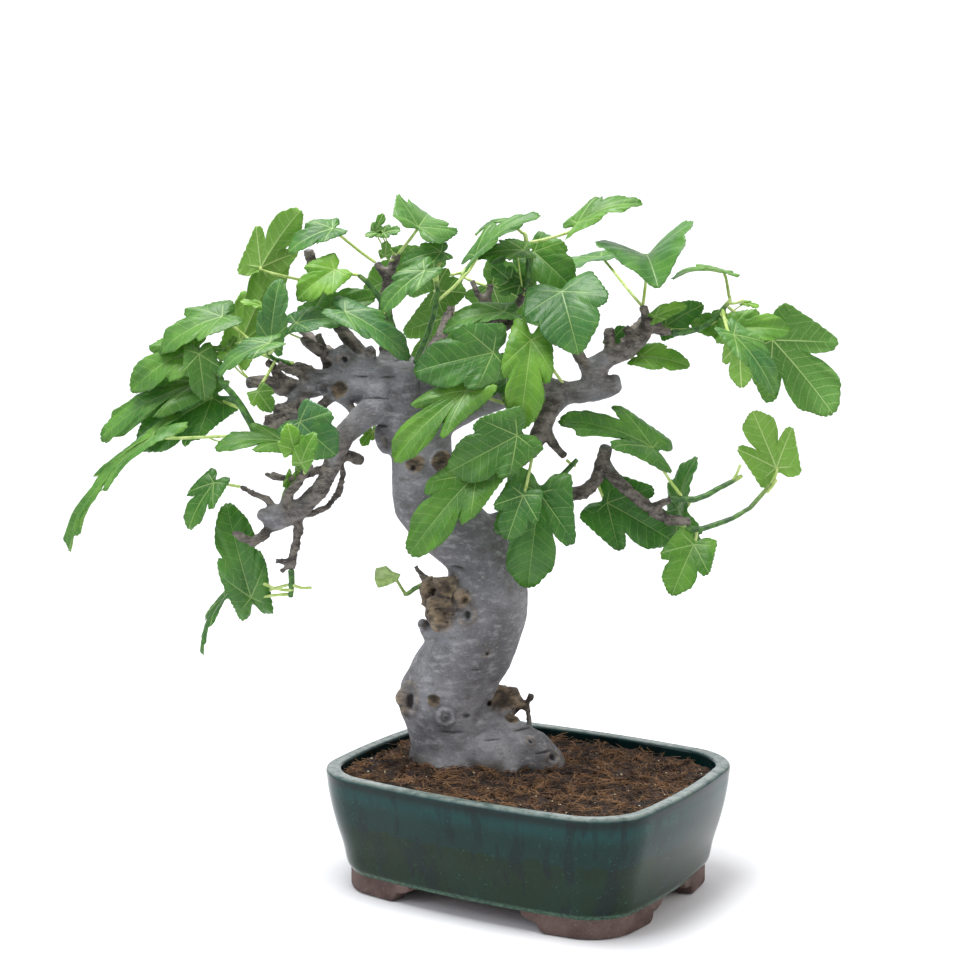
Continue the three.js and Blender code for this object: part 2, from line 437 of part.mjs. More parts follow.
// name: where the stalk springs from [branch or shoot, share of its length], then the blade.
const on = (name, t) => curveOf(SHOOTS[name] || WOOD[name]).getPoint(t);
const LEAVES = {
  leaf_far_right_under: ['shoot_far_right', 0.86, [192, -6, 443], [240, -22, 386], 165, 0.95, 0.9],
  leaf_far_right_light: ['shoot_far_right', 0.8, [158, -14, 451], [205, -20, 450], 25, 0.6, 0.1, 0.3],
  leaf_far_right_small: ['shoot_far_right', 0.7, [166, -22, 441], [168, -26, 405], 175, 0.75, 0.5],
  leaf_far_right_long: ['shoot_far_right', 0.75, [161, -32, 447], [195, -42, 400], 30, 0.45, 0.1, 0.3],
  leaf_far_right_inner: ['shoot_far_right', 0.62, [156, -8, 453], [127, -18, 455], 20, 0.75, 0.1],
  leaf_right_dark: ['riseEnd', 0.9, [107, 16, 454], [137, 12, 471], 15, 0.7, 0.1],
  leaf_right_young: ['riseRight', 0.95, [99, -12, 461], [123, -16, 470], 30, 0.5, 0],
  leaf_right_flat: ['shoot_far_right', 1, [153, 6, 495], [112, 2, 492], 84, 0.9, 0.5],
  leaf_top_right_big: ['riseTop', 1, [92, 4, 509], [101, -40, 485], 0, 1.45, 0.1, 0.7],
  leaf_top_right_edge: ['riseTop', 0.9, [56, 22, 508], [12, 12, 481], 75, 0.7, 0.4],
  leaf_mid_right_big: ['riseLeft', 1, [25, -22, 481], [38, -48, 434], 0, 1.2, 0.2],
  leaf_right_low: ['riseRight', 0.42, [88, -8, 430], [127, -14, 422], 35, 0.6, 0.2],
  leaf_lower_right_dark: ['lowLimb', 0.72, [62, 8, 313], [115, 4, 282], 10, 0.9, 0.7],
  leaf_lower_right_lit: ['shoot_low_right', 0.22, [132, -18, 279], [115, -26, 238], 15, 0.9, 0.5],
  leaf_lower_right_blue: ['lowLimbTwig', 0.9, [119, 14, 296], [133, 12, 266], 20, 0.85, 0.2],
  leaf_right_upright: ['shoot_ring_right', 0.3, [119, 10, 308], [133, 12, 349], 62, 0.7, 0.1],
  leaf_right_spiked: ['shoot_ring_right', 0.22, [98, -14, 357], [24, -20, 380], 55, 0.62, 0.95],
  leaf_lone: ['shoot_low_right', 1, [197, 0, 341], [177, -6, 387], 172, 0.85, 0.9],
  leaf_mid_bright: ['shoulder', 0.64, [1, -34, 443], [-8, -44, 373], 0, 0.55, 0.3],
  leaf_mid_behind: ['shoulder', 0.6, [9, 22, 410], [5, 20, 377], 170, 0.6, 0.3],
  leaf_low_big: ['shoot_inner', 0.45, [8, -40, 321], [-1, -44, 244], 5, 0.8, 0.8],
  leaf_low_dark: ['shoot_fork', 0.1, [-5, -54, 319], [-18, -58, 282], 10, 0.9, 0.5],
  leaf_front_long: ['shoot_fork', 0.4, [-42, -56, 336], [-95, -60, 273], 20, 0.55, 0.4],
  leaf_front_dark: ['shoot_fork', 0.6, [-10, -42, 367], [-64, -44, 338], 5, 0.8, 0.2],
  leaf_front_forked: ['shoot_fork', 0.8, [-50, -50, 403], [-109, -56, 346], 30, 0.5, 0.9],
  leaf_mid_large: ['upMid', 0.35, [-29, -40, 433], [-90, -46, 418], 10, 0.8, 0.2],
  leaf_mid_shade: ['shoulder', 0.5, [-18, -20, 420], [-46, -22, 397], 20, 0.8, 0.1],
  leaf_mid_blue: ['shoot_mid', 0.9, [-83, -34, 497], [-117, -38, 464], 40, 0.55, 0.2],
  leaf_mid_clear: ['shoot_mid', 0.8, [-75, 20, 482], [-50, 26, 480], 175, 1.3, 0.3],
  leaf_top_mid: ['shoot_mid', 1, [-70, -2, 512], [-101, -8, 503], 30, 0.6, 0.2],
  leaf_mid_edge: ['upMid', 0.95, [-20, -14, 465], [-68, -20, 450], 60, 0.6, 0.3],
  leaf_top_edge: ['shoot_top', 0.6, [-5, -8, 513], [-43, -12, 507], 50, 0.6, 0.3],
  leaf_top_dark: ['shoot_top', 0.5, [3, 16, 512], [33, 6, 484], 5, 0.95, 0.1],
  leaf_top_long: ['shoot_mid', 0.7, [-43, -12, 509], [6, -16, 541], 70, 0.6, 0.5],
  leaf_top_thin: ['shoot_top', 1, [-15, 4, 536], [-43, 2, 525], 84, 0.9, 0.5],
  leaf_peak_right: ['shoot_top', 0.8, [37, -2, 534], [88, -8, 551], 62, 0.65, 0.4],
  leaf_peak_left: ['twigMid', 0.98, [-88, -6, 531], [-80, 38, 541], 0, 1.15, 0.3],
  leaf_top_left: ['twigMidFork', 0.9, [-155, 4, 530], [-189, -4, 512], 45, 0.7, 0.2],
  leaf_left_bright: ['shoot_mid_left', 1, [-154, -10, 498], [-184, -16, 474], 20, 0.8, 0.3],
  leaf_left_shade: ['twigTop', 0.5, [-172, 8, 463], [-124, 4, 477], 15, 0.5, 0.1],
  leaf_left_blue: ['shoot_crown_left', 1, [-185, -14, 456], [-143, -16, 458], 45, 0.6, 0.1],
  leaf_crown_blue: ['shoot_mid_left', 0.4, [-146, -26, 465], [-96, -32, 429], 45, 0.5, 0.1],
  leaf_left_upright: ['shoot_crown_left', 0.9, [-205, -24, 442], [-197, -26, 490], 10, 0.5, 0.1],
  leaf_left_low: ['shoot_crown_left', 0.8, [-206, -30, 440], [-248, -34, 415], 55, 0.5, 0.3],
  leaf_left_lobed: ['twigTop', 0.7, [-212, 8, 500], [-181, 4, 544], 160, 0.7, 0.9],
  leaf_left_strip: ['shoot_crown_left', 0.6, [-229, 18, 441], [-193, 16, 513], 165, 0.4, 0.2],
  leaf_left_far: ['shoot_crown_left', 0.7, [-243, 0, 461], [-292, -6, 434], 50, 0.75, 0.3],
  leaf_left_green: ['shoot_left', 1, [-266, -6, 436], [-318, -12, 402], 35, 0.65, 0.3],
  leaf_left_deep: ['shoot_left', 0.9, [-262, 16, 432], [-258, 16, 396], 10, 0.75, 0.2],
  leaf_left_light: ['shoot_left', 0.7, [-262, -22, 410], [-341, -26, 365], 45, 0.45, 0.9],
  leaf_left_dark: ['shoot_left', 0.35, [-252, -8, 397], [-313, -12, 358], 15, 0.65, 0.4],
  leaf_left_drooping: ['shoot_left', 0.15, [-300, -26, 366], [-372, -30, 276], 68, 0.35, 0.9],
  leaf_left_hook: ['sideTwig', 1, [-252, -24, 329], [-273, -28, 293], 25, 0.65, 0.7],
  leaf_hang_tall: ['shoot_hanging', 0.9, [-224, -10, 236], [-243, -14, 313], 5, 0.45, 0.2],
  leaf_hang_edge: ['shoot_hanging', 0.6, [-245, 8, 236], [-265, 4, 188], 76, 0.6, 0.8],
  leaf_cluster_flat: ['upTwig', 0.95, [-196, -42, 362], [-250, -48, 357], 55, 0.6, 0.8],
  leaf_cluster_blue: ['upTwig', 1, [-183, -54, 378], [-154, -56, 351], 0, 1.1, 0.2],
  leaf_cluster_young: ['upTwig', 0.9, [-188, -66, 356], [-193, -68, 377], 10, 1, 0.3],
  leaf_cluster_bright: ['upTwig', 0.8, [-182, -72, 345], [-171, -74, 369], 20, 0.7, 0.2],
  leaf_under_shoot: ['shoot_crown_left', 0.5, [-216, -34, 402], [-205, -38, 386], 10, 1, 0.3],
  leaf_burr: ['shoot_burr', 0.9, [-111, -18, 256], [-122, -26, 244], 40, 1.4, 0.1],
  leaf_back_right: ['shoot_back', 0.8, [-30, 100, 486], [22, 108, 456], 150, 0.9, 0.7],
  leaf_back_left: ['shoot_back', 0.9, [-76, 108, 496], [-132, 112, 482], 140, 0.9, 0.5],
  leaf_back_low: ['shoot_back', 0.4, [-62, 116, 462], [-84, 122, 404], 170, 0.9, 0.6],
};
// Small leaves that grow as one with their shoot.
const ON_SHOOT = ['leaf_far_right_light', 'leaf_far_right_inner', 'leaf_right_flat', 'leaf_top_thin',
  'leaf_top_mid', 'leaf_left_deep', 'leaf_hang_edge', 'leaf_burr', 'leaf_left_strip', 'leaf_mid_clear',
  'leaf_right_upright', 'leaf_under_shoot', 'leaf_far_right_small', 'leaf_top_dark', 'leaf_low_big',
  'leaf_mid_blue', 'leaf_top_edge', 'leaf_left_light', 'leaf_back_right', 'leaf_back_left',
  'leaf_back_low'];

// ---- growing the tree -------------------------------------------------------------------------------------
const treeWood = wood(0).simplify(0.12);
const woodRoom = wood(GAP);

function shootSolid(name, grow) {
  const path = SHOOTS[name].map(([x, y, z, r]) => [at(x, y, z), r * TREE_SCALE]);
  return branch(path, TWIG_SIDES, path.length, grow);
}
const shoots = {};
const shootRoom = {};
for (const name of Object.keys(SHOOTS)) {
  shoots[name] = largest(shootSolid(name, 0).subtract(woodRoom));
  shootRoom[name] = shootSolid(name, GAP);
}

// A leaf keeps its place in the line of sight and moves nearer or further until it clears the
// wood, the shoots and the leaves that are there already.
const SHIFTS = [0];
for (let s = 3; s <= 60; s += 3) SHIFTS.push(s, -s);
const apart = (a, b, gap) => a.minGap(b, gap) >= gap;

const leaves = {};
const placed = [];
for (const [name, [from, share, J, T, roll, wide, cut, fold]] of Object.entries(LEAVES)) {
  const root = on(from, share);
  const own = ON_SHOOT.includes(name);
  const others = Object.keys(SHOOTS).filter((s) => !(own && s === from));
  const room = union([woodRoom, ...others.map((s) => shootRoom[s])]);
  let best = null;
  for (const shift of SHIFTS) {
    const { blade, whole: leaf } = makeLeaf({ J, T, roll, wide, cut, fold, root }, shift);
    let score = 0;
    if (!apart(blade, treeWood, GAP)) score += 4;
    for (const s of Object.keys(SHOOTS)) if (!apart(blade, shoots[s], GAP)) score += 4;
    const whole = largest(leaf.subtract(room));
    if (own && shoots[from].add(whole).decompose().length > 1) score += 9;
    for (const other of placed) if (!apart(whole, other.solid, BLADE_GAP)) score += 3;
    if (!best || score < best.score) best = { score, whole };
    if (score === 0) break;
  }
  placed.push({ name, solid: best.whole });
  if (own) shoots[from] = shoots[from].add(best.whole);
  else leaves[name] = best.whole;
}

// ---- soil ---------------------------------------------------------------------------------------------------
function makeSoil() {
  const foot = at(WOOD.trunk[1][0], 0, GROUND).applyAxisAngle(new THREE.Vector3(0, 0, 1),
    THREE.MathUtils.degToRad(TREE_TURN));
  const top = (p) => {
    const d2 = (p.x - foot.x) ** 2 + (p.y - foot.y) ** 2;
    const ripple = 1.1 * Math.sin(p.x * 0.09) * Math.cos(p.y * 0.11 + 1);
    return SOIL_Z + SOIL_MOUND * Math.exp(-d2 / MOUND_R ** 2) + ripple;
  };
  const rings = WALL_IN.filter(([z]) => z < SOIL_Z - 6)
    .map(([z, d]) => potOutline(d + GAP, z + GAP));
  const edge = potOutline(insetAt(WALL_IN, SOIL_Z) + GAP, 0);
  for (const s of [1, 0.74, 0.46, 0.2]) {
    rings.push(edge.map((p) => {
      const q = new THREE.Vector3(p.x * s, p.y * s, 0);
      q.z = s === 1 ? SOIL_Z : top(q);
      return q;
    }));
  }
  return loft(rings);
}

// ---- the whole object ------------------------------------------------------------------------------------------
const LOOKS = {
  pot: ['#33605f', 0.25], soil: ['#4a2f22', 1], tree: ['#7d7975', 0.85], shoot: ['#3f7a3c', 0.6],
  leaf: ['#3f7d35', 0.55],
};
const turn = THREE.MathUtils.degToRad(TREE_TURN);
function meshOf(name, solid, look) {
  const [color, roughness] = LOOKS[look];
  const mesh = new THREE.Mesh(geometryOf(solid),
    new THREE.MeshStandardMaterial({ color, roughness, metalness: 0 }));
  mesh.name = name;
  return mesh;
}

const tree = new THREE.Group();
tree.rotation.z = turn;
tree.add(meshOf('tree', treeWood, 'tree'));
for (const [name, solid] of Object.entries(shoots)) tree.add(meshOf(name, solid, 'shoot'));
for (const [name, solid] of Object.entries(leaves)) tree.add(meshOf(name, solid, 'leaf'));

const rootSocket = woodRoom.rotate([0, 0, TREE_TURN]);
const object = new THREE.Group();
object.add(meshOf('pot', makePot(), 'pot'));
object.add(meshOf('soil', makeSoil().subtract(rootSocket), 'soil'));
object.add(tree);

// The origin lies under the middle of the object's box, on the surface that it stands on.
const whole = new THREE.Group();
whole.add(object);
whole.updateMatrixWorld(true);
const box = new THREE.Box3().setFromObject(whole, true);
object.position.set(-(box.min.x + box.max.x) / 2, -(box.min.y + box.max.y) / 2, -box.min.z);

export default whole;
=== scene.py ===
"""A fig bonsai in a glazed pot: the finished surfaces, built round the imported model. Metres."""

import heapq
import itertools
import math

import bmesh
import bpy
import numpy as np
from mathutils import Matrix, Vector
from mathutils.bvhtree import BVHTree


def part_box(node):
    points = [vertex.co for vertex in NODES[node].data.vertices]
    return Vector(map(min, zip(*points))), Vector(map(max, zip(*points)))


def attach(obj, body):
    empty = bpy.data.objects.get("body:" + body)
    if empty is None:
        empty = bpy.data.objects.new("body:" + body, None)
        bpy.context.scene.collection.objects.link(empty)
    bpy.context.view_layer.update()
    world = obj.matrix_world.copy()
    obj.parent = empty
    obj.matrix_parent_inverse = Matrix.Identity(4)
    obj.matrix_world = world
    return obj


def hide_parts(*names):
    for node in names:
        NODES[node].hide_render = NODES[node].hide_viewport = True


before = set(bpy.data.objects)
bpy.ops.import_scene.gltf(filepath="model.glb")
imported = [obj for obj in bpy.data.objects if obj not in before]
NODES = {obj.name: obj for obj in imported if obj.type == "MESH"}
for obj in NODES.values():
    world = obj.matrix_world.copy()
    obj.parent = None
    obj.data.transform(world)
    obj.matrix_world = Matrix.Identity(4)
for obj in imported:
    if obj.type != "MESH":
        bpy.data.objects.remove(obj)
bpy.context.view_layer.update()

MM = 0.001
SHOOTS = sorted(n for n in NODES if n.startswith("shoot_"))
LEAVES = sorted(n for n in NODES if n.startswith("leaf_"))
pot_low, pot_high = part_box("pot")
POT_MID = (pot_low + pot_high) / 2
POT_LONG, POT_WIDE, POT_TALL = (pot_high - pot_low) / MM

# The tree's own frame, in millimetres: x to its right, depth away from its front, z up from the
# feet of the pot. Its front faces FRONT; a point slides on the line from there to its own depth.
TURN = math.radians(30.9)
BACK = 28
FRONT = (-31.6, -1491, 518)


def in_tree(x, depth, z):
    d = depth + BACK
    k = (d - FRONT[1]) / -FRONT[1]
    px = FRONT[0] + (x - FRONT[0]) * k
    pz = FRONT[2] + (z - FRONT[2]) * k
    c, s = math.cos(TURN), math.sin(TURN)
    return Vector((POT_MID.x + (px * c - d * s) * MM, POT_MID.y + (px * s + d * c) * MM, pz * MM))


FRONT_POINT = in_tree(0, FRONT[1] - BACK, 0)


# ---- numbers on meshes ---------------------------------------------------------------------------
def smoothstep(low, high, x):
    t = np.clip((x - low) / (high - low), 0, 1)
    return t * t * (3 - 2 * t)


def lumps(points, size, seed=0):
    """Smooth noise from -1 to 1, in lumps about size metres across."""
    q = np.asarray(points) / size
    cell = np.floor(q).astype(np.int64)
    f = q - cell
    f = f * f * (3 - 2 * f)
    total = np.zeros(len(q))
    for corner in itertools.product((0, 1), repeat=3):
        i, j, k = (cell + corner).T
        h = (i * 73856093) ^ (j * 19349663) ^ (k * 83492791) ^ (seed * 7919 + 17)
        h = ((h ^ (h >> 13)) * 1274126177) & 0xFFFFFFFF
        h = ((h ^ (h >> 15)) * 2246822519) & 0xFFFFFFFF
        value = ((h >> 7) & 0xFFFF) / 32767.5 - 1
        weight = np.prod(np.where(np.array(corner) == 1, f, 1 - f), axis=1)
        total += weight * value
    return total


def points_of(mesh):
    co = np.empty(len(mesh.vertices) * 3)
    mesh.vertices.foreach_get("co", co)
    return co.reshape(-1, 3)


def normals_of(mesh):
    n = np.empty(len(mesh.vertices) * 3)
    mesh.vertices.foreach_get("normal", n)
    return n.reshape(-1, 3)


def set_points(mesh, co):
    mesh.vertices.foreach_set("co", np.asarray(co, float).ravel())
    mesh.update()


def edges_of(mesh):
    e = np.empty(len(mesh.edges) * 2, np.int64)
    mesh.edges.foreach_get("vertices", e)
    return e.reshape(-1, 2)


def relax(values, edges, rounds, share):
    """Moves each value towards the mean of its neighbours, by a share that may differ by point."""
    n = len(values)
    count = np.bincount(edges.ravel(), minlength=n)
    for _ in range(rounds):
        mean = np.empty_like(values)
        for k in range(values.shape[1]):
            column = values[:, k]
            mean[:, k] = (np.bincount(edges[:, 0], column[edges[:, 1]], n)
                          + np.bincount(edges[:, 1], column[edges[:, 0]], n)) / count
        values = values + share * (mean - values)
    return values


def mesh_from(name, points, faces):
    mesh = bpy.data.meshes.new(name)
    mesh.from_pydata([tuple(p) for p in points], [], faces)
    mesh.update()
    return mesh


def smooth_shaded(mesh):
    mesh.polygons.foreach_set("use_smooth", [True] * len(mesh.polygons))
    mesh.update()


def set_attribute(mesh, name, values, domain="POINT"):
    values = np.asarray(values, np.float32)
    if values.ndim == 1:
        mesh.attributes.new(name, "FLOAT", domain).data.foreach_set("value", values)
    else:
        mesh.attributes.new(name, "FLOAT_VECTOR", domain).data.foreach_set("vector", values.ravel())


def add_object(name, mesh):
    obj = bpy.data.objects.new(name, mesh)
    bpy.context.scene.collection.objects.link(obj)
    return obj


def evaluated_mesh(obj):
    graph = bpy.context.evaluated_depsgraph_get()
    return bpy.data.meshes.new_from_object(obj.evaluated_get(graph), depsgraph=graph)


def reskinned(mesh, voxel):
    """One closed skin of small squares over a mesh whose parts may run into each other."""
    obj = add_object("work", mesh)
    skin = obj.modifiers.new("skin", "REMESH")
    skin.mode = "VOXEL"
    skin.voxel_size = voxel
    out = evaluated_mesh(obj)
    bpy.data.objects.remove(obj)
    return out


def plain(mesh):
    """The mesh as (points, faces)."""
    return [tuple(v.co) for v in mesh.vertices], [tuple(p.vertices) for p in mesh.polygons]


def joined(parts):
    """One mesh from (points, faces) pairs."""
    points, faces = [], []
    for p, f in parts:
        base = len(points)
        points.extend(p)
        faces.extend([tuple(i + base for i in face) for face in f])
    return points, faces


def finish_piece(obj, replaces=()):
    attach(obj, "root")
    if replaces:
        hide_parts(*replaces)
    return obj


# ---- materials -----------------------------------------------------------------------------------
def colour(text):
    """sRGB hex to linear."""
    rgb = [int(text[i:i + 2], 16) / 255 for i in (1, 3, 5)]
    return tuple(c / 12.92 if c <= 0.04045 else ((c + 0.055) / 1.055) ** 2.4 for c in rgb) + (1,)


# A kind of node: its Blender name, its settings, the sockets its values go into, and its output.
TIMES, MINUS, PLUS, OVER, LARGER = (
    ("ShaderNodeMath", {"operation": name}, (0, 1), 0)
    for name in ("MULTIPLY", "SUBTRACT", "ADD", "DIVIDE", "MAXIMUM"))
FRACTION, SIZE_OF = (("ShaderNodeMath", {"operation": name}, (0,), 0) for name in ("FRACT", "ABSOLUTE"))
RAMP = ("ShaderNodeMapRange", {"interpolation_type": "SMOOTHSTEP"},
        ("Value", "From Min", "From Max", "To Min", "To Max"), "Result")
MIX = ("ShaderNodeMix", {"data_type": "RGBA", "blend_type": "MIX"}, (0, 6, 7), 2)
NOISE = ("ShaderNodeTexNoise", {}, ("Vector", "Scale", "Detail", "Roughness"), 0)
CELL_EDGE = ("ShaderNodeTexVoronoi", {"feature": "DISTANCE_TO_EDGE"}, ("Vector", "Scale"), "Distance")
BUMP = ("ShaderNodeBump", {}, ("Height", "Strength", "Distance", "Normal"), "Normal")
PLACE = ("ShaderNodeTexCoord", {}, (), "Object")
STRETCH = ("ShaderNodeMapping", {}, ("Vector", "Scale"), "Vector")
SPLIT = ("ShaderNodeSeparateXYZ", {}, ("Vector",), None)
HEIGHT = ("ShaderNodeSeparateXYZ", {}, ("Vector",), "Z")
SHADER = ("ShaderNodeBsdfPrincipled", {}, (), 0)
WORN, DARK, GAP_SHADE, TWIG, THIN = (
    ("ShaderNodeAttribute", {"attribute_name": name}, (), "Fac")
    for name in ("worn", "dark", "gap", "twig", "thin"))
MARKED, VEIN, LEAFY = (
    ("ShaderNodeAttribute", {"attribute_name": name}, (), "Vector") for name in ("marks", "vein", "leafy"))


def adder(tree):
    """The function that adds a node of a kind to a tree, sets it, links it and gives its output."""
    def add(kind, *values, **named):
        what, settings, sockets, out = kind
        node = tree.nodes.new(what)
        for key, value in settings.items():
            setattr(node, key, value)
        into = list(zip(sockets, values)) + [(key.replace("_", " "), v) for key, v in named.items()]
        for socket, value in into:
            if isinstance(value, bpy.types.NodeSocket):
                tree.links.new(value, node.inputs[socket])
            elif isinstance(value, str):
                node.inputs[socket].default_value = colour(value)
            else:
                node.inputs[socket].default_value = value
        return node.outputs if out is None else node.outputs[out]
    return add


def per_metre(size_mm):
    """The scale of a noise whose lumps are about size_mm across."""
    return 0.6 / (size_mm * MM)


def blank_finish(name):
    """A material with nothing on it, and its add function."""
    material = bpy.data.materials.new(name)
    material.use_nodes = True
    material.node_tree.nodes.remove(material.node_tree.nodes["Principled BSDF"])
    return material, adder(material.node_tree)


def surfaced(material, shader):
    """The material with the shader as its surface."""
    tree = material.node_tree
    tree.links.new(shader, tree.nodes["Material Output"].inputs["Surface"])
    return material


def glaze_finish():
    # Stoneware glaze, poured and kiln fired: deep teal that breaks to olive where it pools lower
    # down, thin and pale where it runs off the rim, with a wet gloss.
    finish, add = blank_finish("stoneware_glaze_teal")
    where = add(PLACE)
    height = add(HEIGHT, where)
    runs = add(NOISE, add(STRETCH, add(PLACE), (1, 1, 0.22)), per_metre(9), 4, 0.6)
    clouds = add(NOISE, where, per_metre(32), 3)
    specks = add(NOISE, where, per_metre(1.6), 2, 0.6)
    level = add(PLUS, height, add(TIMES, add(MINUS, runs, 0.5), 0.022))
    body = add(MIX, add(RAMP, level, 0.0575, 0.0612), "#0a250f", "#042a26")
    # lighter teal towards the top of the wall: partly the glaze's own colour, partly a painted sheen of
    # window light
    body = add(MIX, add(RAMP, level, 0.074, 0.090, 0, 0.9), body, "#0a4240")
    body = add(MIX, add(RAMP, clouds, 0.45, 0.75, 0, 0.4), body, "#0a3430")
    body = add(MIX, add(RAMP, runs, 0.50, 0.62, 0, 0.7), body, "#04171a")
    body = add(MIX, add(RAMP, specks, 0.64, 0.76, 0, 0.3), body, "#3b766e")
    low_edge = add(TIMES, add(RAMP, height, 0.0175, 0.0205, 1, 0),
                   add(RAMP, specks, 0.35, 0.62, 0.35, 1))
    body = add(MIX, low_edge, body, "#43604f")
    worn = add(WORN)
    rim = add(MIX, add(RAMP, add(NOISE, where, per_metre(5), 4), 0.35, 0.7), "#7a847e", "#495b57")
    rim = add(MIX, add(RAMP, specks, 0.55, 0.7, 0, 0.6), rim, "#33504a")
    chipped = add(RAMP, add(NOISE, where, per_metre(3), 3), 0.25, 0.45, 0.7, 1)
    final = add(MIX, add(TIMES, worn, chipped), body, rim)
    # dark: a dark line round the outer wall under the rim, and painted shade on the inside wall above the
    # soil
    dark = add(DARK)
    final = add(MIX, dark, final, "#061314")
    rough = add(RAMP, worn, 0, 1, 0.07, 0.26)
    normal = add(BUMP, clouds, 0.12, 1.2 * MM)
    normal = add(BUMP, specks, 0.05, 0.2 * MM, normal)
    return surfaced(finish, add(SHADER, Base_Color=final, Roughness=rough, Normal=normal, IOR=1.5,
                                Specular_IOR_Level=0.24))


def clay_finish():
    # Bare stoneware of the feet and underside, pressed and fired: grey-brown, dry, with sand grit.
    finish, add = blank_finish("bare_stoneware_clay")
    where = add(PLACE)
    mottle = add(NOISE, where, per_metre(14), 4)
    grit = add(NOISE, where, per_metre(1.3), 3, 0.65)
    base = add(MIX, add(RAMP, mottle, 0.35, 0.7), "#4d3b36", "#6a5650")
    base = add(MIX, add(RAMP, grit, 0.58, 0.72, 0, 0.55), base, "#8d7a70")
    base = add(MIX, add(RAMP, grit, 0.42, 0.3, 0, 0.5), base, "#33261f")
    return surfaced(finish, add(SHADER, Base_Color=base, Roughness=0.82,
                                Normal=add(BUMP, grit, 0.5, 0.5 * MM)))


def soil_finish(name="coir_potting_mix", fibre=False):
    # Coir and bark mix, raked and dry on top: dark red-brown crumbs, with painted shade in the gaps between
    # them.
    finish, add = blank_finish(name)
    where = add(PLACE)
    clods = add(NOISE, where, per_metre(6), 5, 0.65)
    crumbs = add(NOISE, where, per_metre(1.4), 3, 0.6)
    if fibre:
        tint = add(NOISE, where, per_metre(9), 2)
        base = add(MIX, add(RAMP, tint, 0.34, 0.62), "#28190f", "#83603f")
        base = add(MIX, add(RAMP, crumbs, 0.58, 0.75, 0, 0.6), base, "#a37c58")
        return surfaced(finish, add(SHADER, Base_Color=base, Roughness=0.75,
                                    Normal=add(BUMP, crumbs, 0.3, 0.2 * MM)))
    base = add(MIX, add(RAMP, clods, 0.38, 0.62), "#100906", "#3b271c")
    base = add(MIX, add(RAMP, crumbs, 0.55, 0.75, 0, 0.5), base, "#5f432f")
    # painted shade in the gaps between the crumbs, and on the hidden sides
    low = add(GAP_SHADE)
    base = add(MIX, low, base, "#120a08")
    normal = add(BUMP, crumbs, 0.7, 0.8 * MM, add(BUMP, clods, 0.6, 2.0 * MM))
    return surfaced(finish, add(SHADER, Base_Color=base, Roughness=0.95, Normal=normal))


def grit_finish():
    # Perlite and pumice grit: chalky off-white grains stained by the mix.
    finish, add = blank_finish("perlite_grit")
    stain = add(NOISE, add(PLACE), per_metre(2.2), 3)
    base = add(MIX, add(RAMP, stain, 0.4, 0.65), "#d8cfae", "#8c7350")
    return surfaced(finish, add(SHADER, Base_Color=base, Roughness=0.9,
                                Normal=add(BUMP, stain, 0.5, 0.4 * MM)))


def bark_finish():
    # Living fig bark: smooth and matt, grey with silvery patches and fine pale lenticels, tan cork
    # where old cuts have healed over, and painted shade, near black, inside cracks and hollows.
    finish, add = blank_finish("fig_bark")
    where = add(PLACE)
    around = add(STRETCH, add(PLACE), (1, 1, 2.2))
    patch = add(NOISE, where, per_metre(26), 4, 0.55)
    mottle = add(NOISE, around, per_metre(7), 4, 0.6)
    speck = add(NOISE, around, per_metre(1.5), 3, 0.65)
    fine = add(NOISE, where, per_metre(0.9), 2)
    base = add(MIX, add(RAMP, patch, 0.36, 0.66), "#5f5f62", "#86868a")
    base = add(MIX, add(RAMP, mottle, 0.50, 0.72, 0, 0.55), base, "#a9a9ab")
    base = add(MIX, add(RAMP, mottle, 0.46, 0.30, 0, 0.6), base, "#57524d")
    base = add(MIX, add(RAMP, speck, 0.58, 0.70, 0, 0.42), base, "#b9b5ad")
    base = add(MIX, add(RAMP, speck, 0.44, 0.32, 0, 0.45), base, "#45403b")
    marks = add(MARKED)
    dark, tan, stain = add(SPLIT, marks)
    twig = add(TWIG)
    twig_bark = add(MIX, add(RAMP, mottle, 0.38, 0.62), "#3f3935", "#777068")
    twig_bark = add(MIX, add(RAMP, speck, 0.55, 0.68, 0, 0.5), twig_bark, "#a09a90")
    base = add(MIX, twig, base, twig_bark)
    cork = add(MIX, add(RAMP, mottle, 0.38, 0.66), "#4b4138", "#8f7d63")
    cork = add(MIX, add(RAMP, fine, 0.55, 0.7, 0, 0.5), cork, "#2e2620")
    base = add(MIX, tan, base, cork)
    base = add(MIX, stain, base, "#4d473b")
    # dark: painted shade in cracks, pits, knot cores, burr crevices and hollows, and the dark lines of the
    # twigs' rings
    base = add(MIX, dark, base, "#15110e")
    normal = add(BUMP, mottle, 0.35, 1.0 * MM)
    normal = add(BUMP, speck, 0.35, 0.45 * MM, normal)
    return surfaced(finish, add(SHADER, Base_Color=base, Roughness=0.72, Normal=normal, IOR=1.45))


def stem_finish():
    # This year's growth: waxy green skin, darker and browner on the older shoot, pale on the stalks.
    finish, add = blank_finish("green_shoot")
    where = add(PLACE)
    mottle = add(NOISE, where, per_metre(3), 3)
    thin = add(THIN)
    old = add(MIX, add(RAMP, mottle, 0.4, 0.65), "#2b551f", "#4f7f31")
    young = add(MIX, add(RAMP, mottle, 0.35, 0.65), "#9dba58", "#c2d488")
    return surfaced(finish, add(SHADER, Base_Color=add(MIX, thin, old, young), Roughness=0.45,
                                Normal=add(BUMP, mottle, 0.15, 0.4 * MM), Subsurface_Weight=0.08,
                                Subsurface_Radius=(0.6, 1.0, 0.3), Subsurface_Scale=0.0015))


